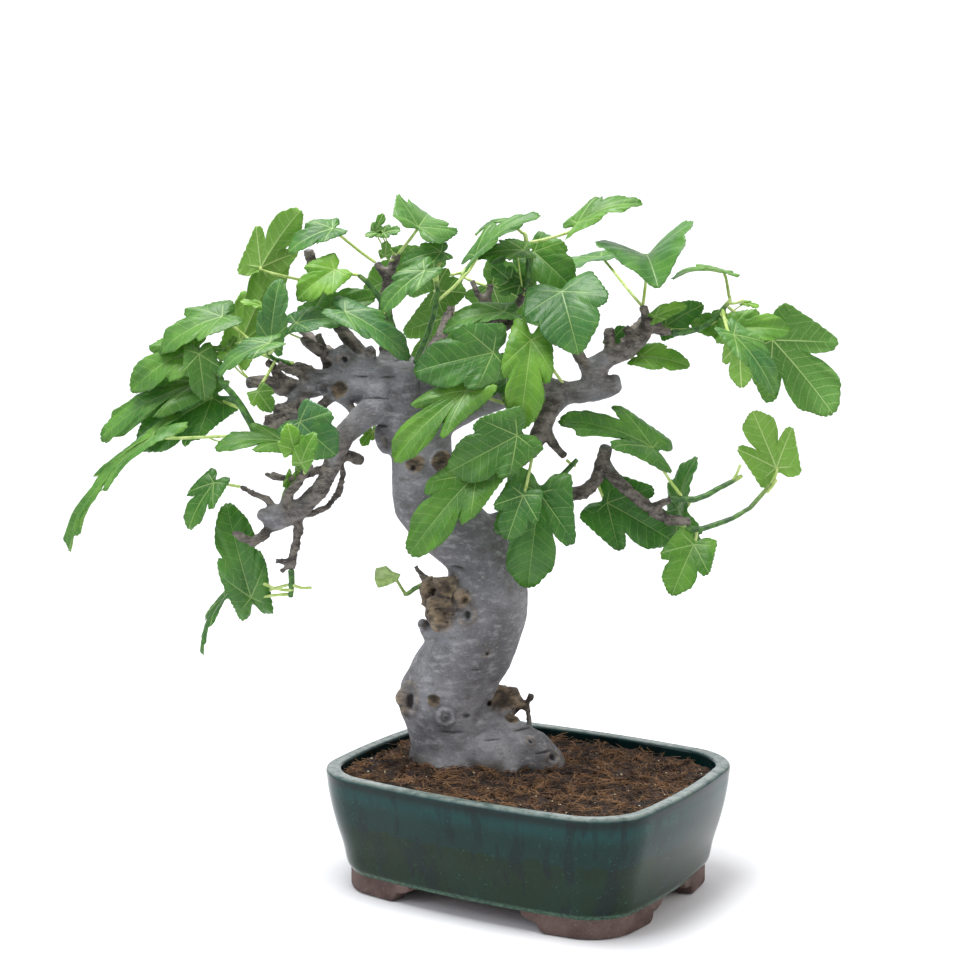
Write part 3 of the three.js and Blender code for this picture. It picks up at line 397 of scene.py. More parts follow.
def leaf_finish():
    # Fig leaf: rough, matt blade with a quilt of pale branching veins. The upper face is mid green,
    # with a painted bluish sheen on leaves seen at a grazing angle, the lower face paler with raised
    # veins; young leaves are yellow-green, and the same tone carries painted light and shade.
    finish, add = blank_finish("fig_leaf")
    where = add(PLACE)
    along, across, step = add(SPLIT, add(VEIN))
    young, painted_sheen, under = add(SPLIT, add(LEAFY))
    wobble = add(TIMES, add(MINUS, add(NOISE, where, per_metre(17), 1), 0.5), 9.0)
    width = add(MINUS, 0.40, add(TIMES, along, 0.004))
    main = add(RAMP, add(MINUS, across, width), -0.1, 0.22, 1, 0)
    turn = add(FRACTION, add(OVER, add(PLUS, step, wobble), 8.0))
    off = add(TIMES, add(SIZE_OF, add(MINUS, turn, 0.5)), 8.0)
    side = add(TIMES, add(RAMP, off, 3.62, 3.95), add(RAMP, across, 16, 26, 1, 0.35))
    net = add(CELL_EDGE, where, 1 / (3.0 * MM))
    web = add(RAMP, net, 0.0, 0.08, 1, 0)
    veins = add(LARGER, main, add(TIMES, side, 0.6))
    veins = add(LARGER, veins, add(TIMES, web, 0.16))
    cells = add(NOISE, where, per_metre(13), 3)
    grain = add(NOISE, where, per_metre(0.8), 2, 0.6)
    # young carries painted light and shade as well as age: low on shaded leaves, high on lit and young ones
    top = add(MIX, young, "#245519", "#689d28")
    # painted bluish sheen, on leaves seen at a grazing angle
    top = add(MIX, painted_sheen, top, "#346540")
    top = add(MIX, add(RAMP, cells, 0.38, 0.66, 0, 0.5), top, add(MIX, young, "#3f752c", "#93bf42"))
    top = add(MIX, add(RAMP, add(NOISE, where, per_metre(30), 2), 0.52, 0.36, 0, 0.4), top, "#1b4a1c")
    low = add(MIX, young, "#43722e", "#85ae45")
    skin = add(MIX, under, top, low)
    skin = add(MIX, add(RAMP, grain, 0.55, 0.75, 0, 0.15), skin, "#2a5020")
    pale = add(MIX, under, "#a6c173", "#b4cb86")
    strength = add(TIMES, veins, add(RAMP, under, 0, 1, 0.46, 0.8))
    final = add(MIX, strength, skin, pale)
    normal = add(BUMP, veins, 0.35, 0.5 * MM)
    normal = add(BUMP, grain, 0.3, 0.25 * MM, normal)
    return surfaced(finish, add(SHADER, Base_Color=final, Roughness=add(RAMP, under, 0, 1, 0.42, 0.66),
                                Normal=normal, IOR=1.42, Subsurface_Weight=0.12,
                                Subsurface_Radius=(0.5, 1.0, 0.25), Subsurface_Scale=0.002))


FINISH = {
    "glaze": glaze_finish(), "clay": clay_finish(), "soil": soil_finish(),
    "fibre": soil_finish("coir_fibre", True), "grit": grit_finish(), "bark": bark_finish(),
    "stem": stem_finish(), "leaf": leaf_finish(),
}


# ---- pot -----------------------------------------------------------------------------------------
CORNER, BOW, RIM = 38.0, 10.0, 11.0
DRAIN_WIDE, DRAIN_APART = 20.0, 116.0
FOOT_TALL, FOOT_INSET, FOOT_DEEP, FOOT_REACH, FOOT_STEP = 15.0, 17.0, 13.0, 74.0, 14.0
FOOT_LIFT, NOSE_TALL, NOSE_DEEP = 7.8, 6.2, 6.0
WALL_FOOT = 14.5
DRILL_SIDES = 48


def pot_ring(inset, arc=14, side=26):
    """The pot's outline in millimetres, drawn in by inset: rounded corners and swelling sides."""
    a, b = POT_LONG / 2 - BOW - inset, POT_WIDE / 2 - BOW - inset
    r = max(CORNER - inset * 0.6, 8)
    corners = ((1, 1, 0), (-1, 1, 90), (-1, -1, 180), (1, -1, 270))
    points = []
    for c, (sx, sy, start) in enumerate(corners):
        for i in range(arc + 1):
            t = math.radians(start + 90 * i / arc)
            points.append((sx * (a - r) + r * math.cos(t), sy * (b - r) + r * math.sin(t)))
        nx, ny, angle = corners[(c + 1) % 4]
        t = math.radians(angle)
        to = (nx * (a - r) + r * math.cos(t), ny * (b - r) + r * math.sin(t))
        start_point = points[-1]
        for i in range(1, side):
            points.append(tuple(p + (q - p) * i / side for p, q in zip(start_point, to)))
    out = []
    for x, y in points:
        u, v = x / a, y / b
        out.append((x + BOW * u * (1 - v * v), y + BOW * v * (1 - u * u)))
    return np.array(out)


def eased(profile, per_step=5):
    """Extra points on a smooth curve through a list of (height, inset, ...) rows."""
    p = np.array(profile, float)
    rows = []
    for i in range(len(p) - 1):
        before, after = p[max(i - 1, 0)], p[min(i + 2, len(p) - 1)]
        for k in range(per_step):
            t = k / per_step
            rows.append(0.5 * (2 * p[i] + (p[i + 1] - before) * t
                               + (2 * before - 5 * p[i] + 4 * p[i + 1] - after) * t ** 2
                               + (3 * p[i] - before - 3 * p[i + 1] + after) * t ** 3))
    return rows + [p[-1]]


def make_pot():
    """The glazed wall and rim in one skin, closed by bare floors, with the drain holes cut through."""
    top = POT_TALL
    # height, inset, worn glaze, dark: a dark line round the outside under the rim, painted shade down the
    # inside wall
    skin = eased([
        (FOOT_TALL, WALL_FOOT + 4.0, 0, 0), (FOOT_TALL + 0.4, WALL_FOOT + 2.6, 0, 0),
        (FOOT_TALL + 1.8, WALL_FOOT + 1.8, 0, 0), (FOOT_TALL + 7, WALL_FOOT - 0.6, 0, 0),
        (36, 11.4, 0, 0), (52, 7.2, 0, 0), (68, 3.7, 0, 0), (82, 1.5, 0, 0), (89, 0.8, 0, 0.3),
        (93, 0.4, 0, 0.8), (95.8, 0.2, 0, 0.75), (97.2, 0.4, 0.35, 0.3), (98.4, 1.1, 0.85, 0),
    ], 5)
    skin += eased([
        (98.4, 1.1, 0.85, 0), (top, 2.6, 1, 0), (top - 0.1, 5.5, 1, 0), (top - 0.25, RIM - 2.6, 1, 0),
        (98.3, RIM - 1.0, 0.6, 0.1), (97.0, RIM - 0.1, 0.1, 0.6), (95.0, RIM + 0.2, 0, 0.8),
        (86.0, RIM + 1.0, 0, 0.6), (74.0, RIM + 2.0, 0, 0),
    ], 4)[1:]
    points, worn, dark, faces = [], [], [], []
    n = len(pot_ring(0))
    for height, inset, w, d in skin:
        for x, y in pot_ring(inset):
            points.append((POT_MID.x + x * MM, POT_MID.y + y * MM, height * MM))
            worn.append(w)
            dark.append(d)
    rows = len(skin)
    for r in range(rows - 1):
        for i in range(n):
            a, b = r * n + i, r * n + (i + 1) % n
            faces.append((a, b, b + n, a + n))
    clay_from = len(faces)

    def plate(ring_start, height, inset, up):
        """A flat floor from a ring inwards."""
        previous = ring_start
        for share in (0.7, 0.4, 0.15):
            base = len(points)
            for x, y in pot_ring(inset) * share:
                points.append((POT_MID.x + x * MM, POT_MID.y + y * MM, height * MM))
            for i in range(n):
                a, b = previous + i, previous + (i + 1) % n
                c, d = base + (i + 1) % n, base + i
                faces.append((a, b, c, d) if up else (d, c, b, a))
            previous = base
        middle = len(points)
        points.append((POT_MID.x, POT_MID.y, height * MM))
        for i in range(n):
            a, b = previous + i, previous + (i + 1) % n
            faces.append((a, b, middle) if up else (b, a, middle))

    plate(0, FOOT_TALL, WALL_FOOT + 4.0, False)
    plate((rows - 1) * n, 74.0, RIM + 2.0, True)
    worn += [0] * (len(points) - len(worn))
    dark += [0] * (len(points) - len(dark))
    mesh = mesh_from("pot_body", points, faces)
    set_attribute(mesh, "worn", np.clip(worn, 0, 1))
    # dark: a dark line outside, painted shade down the inside of the rim
    set_attribute(mesh, "dark", np.clip(dark, 0, 1))
    mesh.materials.append(FINISH["glaze"])
    mesh.materials.append(FINISH["clay"])
    index = np.zeros(len(faces), np.int32)
    index[clay_from:] = 1
    mesh.polygons.foreach_set("material_index", index)
    smooth_shaded(mesh)
    body = add_object("pot_body", mesh)
    drill_drain_holes(body)
    return finish_piece(body, ["pot"])


def drill_drain_holes(body):
    """The two drain holes, as deep as the soil that shows dark inside them."""
    drills = []
    n = DRILL_SIDES
    for side in (-1, 1):
        turn = [2 * math.pi * k / n for k in range(n)]
        points = [(POT_MID.x + (side * DRAIN_APART / 2 + DRAIN_WIDE / 2 * math.cos(a)) * MM,
                   POT_MID.y + DRAIN_WIDE / 2 * math.sin(a) * MM, z * MM)
                  for z in (FOOT_TALL - 5, FOOT_TALL + 9) for a in turn]
        faces = [(k, (k + 1) % n, n + (k + 1) % n, n + k) for k in range(n)]
        drills.append((points, faces + [tuple(reversed(range(n))), tuple(range(n, 2 * n))]))
    drill = mesh_from("drill", *joined(drills))
    drill.materials.append(FINISH["glaze"])
    drill.materials.append(FINISH["clay"])
    drill.polygons.foreach_set("material_index", np.ones(len(drill.polygons), np.int32))
    cutter = add_object("drill", drill)
    cut = body.modifiers.new("drain_holes", "BOOLEAN")
    cut.operation, cut.object, cut.solver = "DIFFERENCE", cutter, "EXACT"
    body.data = evaluated_mesh(body)
    body.modifiers.clear()
    bpy.data.objects.remove(cutter)


def make_feet():
    """Four corner feet with stepped cloud ends, each swept along the pot's outline."""
    outer, inner = pot_ring(FOOT_INSET), pot_ring(FOOT_INSET + FOOT_DEEP)
    long_half, wide_half = POT_LONG / 2 - FOOT_INSET, POT_WIDE / 2 - FOOT_INSET
    parts = []
    for sx in (-1, 1):
        for sy in (-1, 1):
            reach_x, reach_y = long_half - FOOT_REACH - FOOT_STEP, wide_half - FOOT_REACH - FOOT_STEP
            keep = [i for i, (x, y) in enumerate(outer)
                    if x * sx > reach_x and y * sy > reach_y]
            breaks = [k for k in range(len(keep)) if keep[k] - keep[k - 1] not in (1, 1 - len(outer))]
            if breaks:
                keep = keep[breaks[0]:] + keep[:breaks[0]]
            path = []
            for k, i in enumerate(keep[:-1]):
                j = keep[k + 1]
                for t in (0, 0.25, 0.5, 0.75):
                    path.append((outer[i] + (outer[j] - outer[i]) * t, inner[i] + (inner[j] - inner[i]) * t))
            path.append((outer[keep[-1]], inner[keep[-1]]))
            run = [0.0]
            for k in range(1, len(path)):
                run.append(run[-1] + np.linalg.norm(path[k][0] - path[k - 1][0]))
            total = run[-1]
            points, faces = [], []
            for (o, i), s in zip(path, run):
                edge = min(s, total - s)
                # the cloud end: a round-nosed step, then a second one down to the ground
                if edge < FOOT_STEP:
                    round_off = 1 - math.sqrt(max(0, 1 - (1 - edge / FOOT_STEP) ** 2))
                    low = max(FOOT_LIFT + NOSE_TALL * round_off, FOOT_LIFT)
                else:
                    t = min((edge - FOOT_STEP) / NOSE_DEEP, 1)
                    low = FOOT_LIFT * (1 - math.sqrt(1 - (1 - t) ** 2))
                soft = min(1.4, (FOOT_TALL + 1 - low) / 3)
                ring = [(o, FOOT_TALL + 1.0), (o, low + soft), (o + (i - o) * 0.03, low + soft * 0.4),
                        (o + (i - o) * 0.11, low), (o + (i - o) * 0.89, low),
                        (o + (i - o) * 0.97, low + soft * 0.4), (i, low + soft), (i, FOOT_TALL + 1.0)]
                for p, z in ring:
                    points.append((POT_MID.x + p[0] * MM, POT_MID.y + p[1] * MM, z * MM))
            m = 8
            for k in range(len(path) - 1):
                for q in range(m):
                    a, b = k * m + q, k * m + (q + 1) % m
                    faces.append((a, a + m, b + m, b))
            faces.append(tuple(range(m)))
            last = (len(path) - 1) * m
            faces.append(tuple(last + q for q in reversed(range(m))))
            parts.append((points, faces))
    mesh = mesh_from("pot_feet", *joined(parts))
    bm = bmesh.new()
    bm.from_mesh(mesh)
    bmesh.ops.recalc_face_normals(bm, faces=bm.faces)
    bm.to_mesh(mesh)
    bm.free()
    mesh.materials.append(FINISH["clay"])
    smooth_shaded(mesh)
    mesh.set_sharp_from_angle(angle=math.radians(50))
    return finish_piece(add_object("pot_feet", mesh))


# ---- soil ----------------------------------------------------------------------------------------
TRUNK_FOOT = in_tree(-60, 0, 90)
SOIL_LEVEL, SOIL_UNDER = 90 * MM, 76 * MM


def soil_height(x, y):
    """Top of the mix in metres at places in metres: a low mound round the trunk, raked and crumbly."""
    d2 = (x - TRUNK_FOOT.x) ** 2 + (y - TRUNK_FOOT.y) ** 2
    mound = 7 * MM * np.exp(-d2 / (70 * MM) ** 2)
    flat = np.stack([x, y, np.zeros_like(x)], axis=1)
    return (SOIL_LEVEL + mound + 2.0 * MM * lumps(flat, 22 * MM, 1) + 1.7 * MM * lumps(flat, 7 * MM, 2)
            + 1.1 * MM * lumps(flat, 3 * MM, 3) + 0.4 * MM * lumps(flat, 1.3 * MM, 4))


def make_soil():
    """The filling: its raked top inside the rim, closed down the sides and underneath."""
    edge = pot_ring(RIM + 0.9, 14, 40)
    n = len(edge)
    shares = np.linspace(1, 0.012, 110)
    flat = np.concatenate([edge * s for s in shares]) * MM
    x, y = flat[:, 0] + POT_MID.x, flat[:, 1] + POT_MID.y
    z = soil_height(x, y)
    rim = np.repeat(smoothstep(0.94, 1.0, shares), n)
    z = z - 1.2 * MM * rim
    points = np.stack([x, y, z], axis=1)
    level = np.stack([x, y, np.zeros_like(x)], axis=1)
    # gap: painted shade where the surface sinks between crumbs, from the same lumps as its height
    gap = smoothstep(0.1, -0.7, lumps(level, 7 * MM, 2) + 0.7 * lumps(level, 3 * MM, 3))
    faces = []
    for r in range(len(shares) - 1):
        for i in range(n):
            a, b = r * n + i, r * n + (i + 1) % n
            faces.append((a, b, b + n, a + n))
    last = (len(shares) - 1) * n
    faces.append(tuple(last + i for i in range(n)))
    base = len(points)
    bottom = np.stack([x[:n], y[:n], np.full(n, SOIL_UNDER)], axis=1)
    points = np.concatenate([points, bottom])
    for i in range(n):
        j = (i + 1) % n
        faces.append((i, base + i, base + j, j))
    faces.append(tuple(base + i for i in reversed(range(n))))
    mesh = mesh_from("soil_bed", points, faces)
    # the top's gaps in painted shade, and the sides all in painted shade
    set_attribute(mesh, "gap", np.concatenate([gap * 0.8, np.ones(n)]))
    mesh.materials.append(FINISH["soil"])
    smooth_shaded(mesh)
    return finish_piece(add_object("soil_bed", mesh), ["soil"])


def scatter_tree(name, build):
    """A Geometry Nodes tree with a mesh in, a mesh out, and whatever build puts between them."""
    tree = bpy.data.node_groups.new(name, "GeometryNodeTree")
    tree.interface.new_socket("Geometry", in_out="INPUT", socket_type="NodeSocketGeometry")
    tree.interface.new_socket("Geometry", in_out="OUTPUT", socket_type="NodeSocketGeometry")
    sizes = {}

    def size(label, value):
        socket = tree.interface.new_socket(label, in_out="INPUT", socket_type="NodeSocketFloat")
        sizes[socket.identifier] = value

    result = build(size, adder(tree))
    tree.links.new(result, tree.nodes.new("NodeGroupOutput").inputs[0])
    return tree, sizes


def grown_on(obj, name, build):
    """The mesh that a Geometry Nodes tree grows on an object."""
    tree, sizes = scatter_tree(name, build)
    holder = add_object("holder", obj.data.copy())
    modifier = holder.modifiers.new(name, "NODES")
    modifier.node_group = tree
    for identifier, value in sizes.items():
        modifier[identifier] = value
    mesh = evaluated_mesh(holder)
    bpy.data.objects.remove(holder)
    return mesh


# Kinds of Geometry Nodes, written as the material's kinds are.
GIVEN = ("NodeGroupInput", {}, (), None)
FACING = ("GeometryNodeInputNormal", {}, (), 0)
WHERE = ("GeometryNodeInputPosition", {}, (), 0)
MORE_THAN = ("FunctionNodeCompare", {"data_type": "FLOAT", "operation": "GREATER_THAN"}, (0, 1), 0)
SPRINKLE = ("GeometryNodeDistributePointsOnFaces", {}, ("Mesh", "Selection", "Density", "Seed"), "Points")
ALONG_X = ("ShaderNodeCombineXYZ", {}, ("X",), 0)
LINE = ("GeometryNodeCurvePrimitiveLine", {}, ("Start", "End"), "Curve")
DOTS = ("GeometryNodeResampleCurve", {}, ("Curve", "Count"), "Curve")
ANY_VECTOR = ("FunctionNodeRandomValue", {"data_type": "FLOAT_VECTOR"}, (0, 1, "Seed"), 0)
ANY_NUMBER = ("FunctionNodeRandomValue", {"data_type": "FLOAT"}, (2, 3, "Seed"), 1)
LAY = ("GeometryNodeInstanceOnPoints", {}, ("Points", "Instance", "Rotation", "Scale"), 0)
REAL = ("GeometryNodeRealizeInstances", {}, ("Geometry",), 0)
WAVE = ("ShaderNodeTexNoise", {}, ("Vector", "Scale", "Detail"), "Color")
LESS, BY = (("ShaderNodeVectorMath", {"operation": name}, (0, 1), 0) for name in ("SUBTRACT", "MULTIPLY"))
SCALED = ("ShaderNodeVectorMath", {"operation": "SCALE"}, (0, "Scale"), 0)
SHIFT = ("GeometryNodeSetPosition", {}, ("Geometry", "Offset"), 0)
RING_OF = ("GeometryNodeCurvePrimitiveCircle", {}, ("Resolution", "Radius"), "Curve")
TUBES = ("GeometryNodeCurveToMesh", {}, ("Curve", "Profile Curve", "Fill Caps"), 0)
GRAIN = ("GeometryNodeMeshIcoSphere", {}, ("Radius", "Subdivisions"), "Mesh")
COATED = ("GeometryNodeSetMaterial", {}, ("Geometry", "Material"), 0)
FULL_TURN = 6.283


def fibre_nodes(size, add):
    """Coir fibres strewn over the faces that look up, each a curled three-sided tube."""
    size("Fibres per square metre", 71000.0)
    size("Fibre length", 0.017)
    size("Fibre radius", 0.0003)
    size("Curl", 0.0085)
    given = add(GIVEN)
    facing = add(MORE_THAN, add(HEIGHT, add(FACING)), 0.3)
    spots = add(SPRINKLE, given["Geometry"], facing, given["Fibres per square metre"], 11)
    start, end = (add(ALONG_X, add(TIMES, given["Fibre length"], share)) for share in (-0.5, 0.5))
    dots = add(DOTS, add(LINE, start, end), 7)
    turn = add(ANY_VECTOR, (-0.35, -0.35, 0), (0.35, 0.35, FULL_TURN), 5)
    long = add(ANY_NUMBER, 0.35, 1.5, 6)
    real = add(REAL, add(LAY, spots, dots, turn, long))
    wave = add(LESS, add(WAVE, add(WHERE), 75.0, 1.0), (0.5, 0.5, 0.44))
    curl = add(SCALED, add(BY, wave, (3.2, 3.2, 1.5)), given["Curl"])
    tubes = add(TUBES, add(SHIFT, real, curl), add(RING_OF, 3, given["Fibre radius"]), True)
    return add(COATED, add(REAL, tubes), FINISH["fibre"])


def grit_nodes(size, add):
    """Perlite grains sprinkled over the mix, each squashed, turned and roughened its own way."""
    size("Grains per square metre", 2600.0)
    size("Grain radius", 0.0011)
    given = add(GIVEN)
    facing = add(MORE_THAN, add(HEIGHT, add(FACING)), 0.3)
    spots = add(SPRINKLE, given["Geometry"], facing, given["Grains per square metre"], 4)
    grain = add(GRAIN, given["Grain radius"], 2)
    stretch = add(ANY_VECTOR, (0.4, 0.4, 0.3), (1.3, 1.3, 1.0), 8)
    turn = add(ANY_VECTOR, (0, 0, 0), (FULL_TURN, FULL_TURN, FULL_TURN), 9)
    real = add(REAL, add(LAY, spots, grain, turn, stretch))
    rough = add(LESS, add(WAVE, add(WHERE), 900.0, 2.0), (0.5, 0.5, 0.5))
    worn = add(SHIFT, real, add(SCALED, rough, 0.0011))
    return add(COATED, worn, FINISH["grit"])


def inside_the_rim(mesh):
    """The mesh without the fibres and grains that would run into the pot's wall."""
    ring = pot_ring(RIM + 0.4) * MM
    bearing, reach = np.arctan2(ring[:, 1], ring[:, 0]), np.linalg.norm(ring, axis=1)
    order = np.argsort(bearing)
    co = points_of(mesh)
    flat = co[:, :2] - (POT_MID.x, POT_MID.y)
    limit = np.interp(np.arctan2(flat[:, 1], flat[:, 0]), bearing[order], reach[order], period=2 * math.pi)
    bm = bmesh.new()
    bm.from_mesh(mesh)
    bm.verts.ensure_lookup_table()
    queue = [bm.verts[i] for i in np.flatnonzero(np.linalg.norm(flat, axis=1) > limit)]
    gone = set(queue)
    while queue:
        for edge in queue.pop().link_edges:
            for vert in edge.verts:
                if vert not in gone:
                    gone.add(vert)
                    queue.append(vert)
    bmesh.ops.delete(bm, geom=list(gone), context="VERTS")
    bm.to_mesh(mesh)
    bm.free()
    return mesh


def make_soil_litter(soil):
    """Fibres and grains over the whole bed, but not into the wall."""
    for name, build, look in (("coir_fibres", fibre_nodes, "fibre"), ("perlite_grains", grit_nodes, "grit")):
        mesh = grown_on(soil, name, build)
        mesh = inside_the_rim(mesh)
        if not mesh.materials:
            mesh.materials.append(FINISH[look])
        smooth_shaded(mesh)
        finish_piece(add_object(name, mesh))


# ---- wood ----------------------------------------------------------------------------------------
BARK_GRID = 1.15 * MM
FACES_KEPT = 0.49
EARTH_TOP, EARTH_LOW = 112 * MM, 92 * MM
# Marks on the trunk, placed on the side that faces FRONT: kind, x, z, size in mm, height stretch.
MARKS = [
    ("crack", -58, 260, 9, 0.5), ("knot", -71, 226, 12, 1.1), ("knot", -79, 241, 9, 1),
    ("knot", -66, 244, 8, 1), ("knot", -52, 234, 5, 1), ("pit", -50, 222, 6, 1.3),
    ("ring", -68, 137, 11, 1), ("knot", -77, 151, 6, 1), ("hollow", -97, 151, 7, 1.8),
    ("crack", -50, 138, 5, 1.6), ("crack", -43, 177, 7, 0.35), ("pit", -34, 190, 3, 0.8),
    ("knot", -90, 345, 8, 0.9), ("pit", -93, 341, 4, 1), ("knot", -70, 347, 10, 0.8),
    ("crack", -70, 345, 8, 0.5), ("crack", -133, 414, 9, 0.4), ("pit", -147, 427, 5, 1),
    ("crack", -123, 397, 12, 0.3), ("crack", -113, 414, 8, 0.4), ("knot", -150, 404, 8, 1),
    ("crack", -103, 427, 10, 0.3), ("ring", -163, 404, 7, 1), ("crack", -118, 375, 9, 0.4),
    ("crack", -5, 128, 12, 0.35), ("pit", 2, 118, 4, 1), ("crack", 13, 108, 10, 0.4),
    ("knot", -14, 136, 7, 1), ("hollow", 20, 104, 6, 0.8), ("crack", -30, 118, 9, 0.3),
    ("knot", -22, 152, 11, 1), ("ring", -152, 438, 9, 0.8), ("crack", -62, 124, 14, 0.25),
]
BURRS = [(-71, -19, 226, 17), (-79, -15, 241, 13), (-66, -20, 244, 12), (-52, -26, 234, 10),
         (-22, 10, 152, 17), (-12, 10, 148, 13), (-24, 6, 142, 14), (-97, -12, 151, 13)]


# Short dead twigs and cut stubs in the crown: depth, radius at the branch, radius at the end, and
# the way out, in the tree's own frame.
STUBS = [
    (0, 8, 5.5, [(-127, 413), (-141, 423), (-151, 428)]),
    (-10, 8, 4.5, [(-134, 397), (-154, 402), (-177, 406), (-189, 397)]),
    (-12, 5, 3.5, [(-151, 402), (-166, 390), (-174, 378)]),
    (-8, 4, 3, [(-174, 403), (-181, 413), (-185, 421)]),
    (-12, 4, 3, [(-189, 393), (-198, 383), (-209, 381)]),
    (-14, 5, 3.4, [(-164, 388), (-181, 383), (-194, 387)]),
    (-12, 7, 5, [(-117, 410), (-124, 423), (-127, 435)]),
    (-5, 5, 3.5, [(-136, 423), (-154, 428), (-167, 437), (-179, 443)]),
    (-8, 4.5, 3.2, [(-147, 413), (-167, 413), (-187, 418), (-198, 423)]),
    (-12, 4.5, 3, [(-174, 383), (-190, 378), (-205, 370), (-210, 377)]),
    (-5, 6.5, 5.5, [(-124, 373), (-118, 366), (-114, 356)]),
    (-10, 5.5, 4.8, [(-151, 356), (-143, 351), (-136, 347)]),
    (-20, 3.2, 2.6, [(-175, 336), (-192, 332), (-205, 336)]),
    (-15, 6, 4, [(-127, 410), (-148, 397), (-141, 388)]),
    (2, 4, 3, [(-184, 410), (-194, 413), (-207, 425)]),
    (0, 5, 3.5, [(-35, 437), (-40, 450), (-31, 460)]),
]


def merged_copy(node):
    """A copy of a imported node's mesh with its loose triangles joined up."""
    mesh = NODES[node].data.copy()
    bm = bmesh.new()
    bm.from_mesh(mesh)
    bmesh.ops.remove_doubles(bm, verts=bm.verts, dist=2e-6)
    bm.to_mesh(mesh)
    bm.free()
    for layer in list(mesh.attributes):
        if not layer.is_required and not layer.is_internal:
            mesh.attributes.remove(layer)
    mesh.materials.clear()
    return mesh


def thickness_of(mesh, co, normal, most):
    """How thick the wood is under each point, in metres."""
    tree = BVHTree.FromPolygons(*plain(mesh))
    out = np.full(len(co), most)
    for i, (c, n) in enumerate(zip(co, normal)):
        inwards = Vector(-n)
        hit = tree.ray_cast(Vector(c) + inwards * 2e-5, inwards, most)
        if hit[3]:
            out[i] = hit[3]
    return out


def way_along(co, edges, start):
    """Each point's distance from the start points along the skin, in metres."""
    near = [[] for _ in co]
    lengths = np.linalg.norm(co[edges[:, 0]] - co[edges[:, 1]], axis=1)
    for (a, b), d in zip(edges.tolist(), lengths.tolist()):
        near[a].append((b, d))
        near[b].append((a, d))
    way = [math.inf] * len(co)
    queue = [(0.0, int(i)) for i in start]
    for _, i in queue:
        way[i] = 0.0
    heapq.heapify(queue)
    while queue:
        d, i = heapq.heappop(queue)
        if d > way[i]:
            continue
        for j, step in near[i]:
            if d + step < way[j]:
                way[j] = d + step
                heapq.heappush(queue, (way[j], j))
    return np.array(way)


def tube(points, radii, sides=10):
    """A closed tube through points, rounded off at both ends."""
    points = np.array(points, float)
    t = np.linspace(0, len(points) - 1, 6 * (len(points) - 1) + 1)
    i = np.clip(np.floor(t).astype(int), 0, len(points) - 2)
    u = (t - i)[:, None]
    p = [points[np.clip(i + k, 0, len(points) - 1)] for k in (-1, 0, 1, 2)]
    path = 0.5 * (2 * p[1] + (p[2] - p[0]) * u + (2 * p[0] - 5 * p[1] + 4 * p[2] - p[3]) * u ** 2
                  + (3 * p[1] - p[0] - 3 * p[2] + p[3]) * u ** 3)
    wide = np.interp(t, np.linspace(0, t[-1], len(radii)), radii)
    ahead = np.gradient(path, axis=0)
    ahead /= np.linalg.norm(ahead, axis=1)[:, None]
    side = np.cross(ahead, (0.31, 0.87, 0.38))
    side /= np.linalg.norm(side, axis=1)[:, None]
    over = np.cross(ahead, side)
    rows = []
    for k in range(len(path)):
        ends = [(0.5, -0.75), (0.85, -0.4)] if k == 0 else []
        for share, back in ends + [(1, 0)] + ([(0.85, 0.4), (0.5, 0.75)] if k == len(path) - 1 else []):
            a = 2 * math.pi * np.arange(sides) / sides
            rows.append(path[k] + ahead[k] * back * wide[k] + share * wide[k]
                        * (np.cos(a)[:, None] * side[k] + np.sin(a)[:, None] * over[k]))
    faces = []
    for r in range(len(rows) - 1):
        for q in range(sides):
            a, b = r * sides + q, r * sides + (q + 1) % sides
            faces.append((a, b, b + sides, a + sides))
    last = (len(rows) - 1) * sides
    faces += [tuple(reversed(range(sides))), tuple(last + q for q in range(sides))]
    return [tuple(x) for x in np.concatenate(rows)], faces


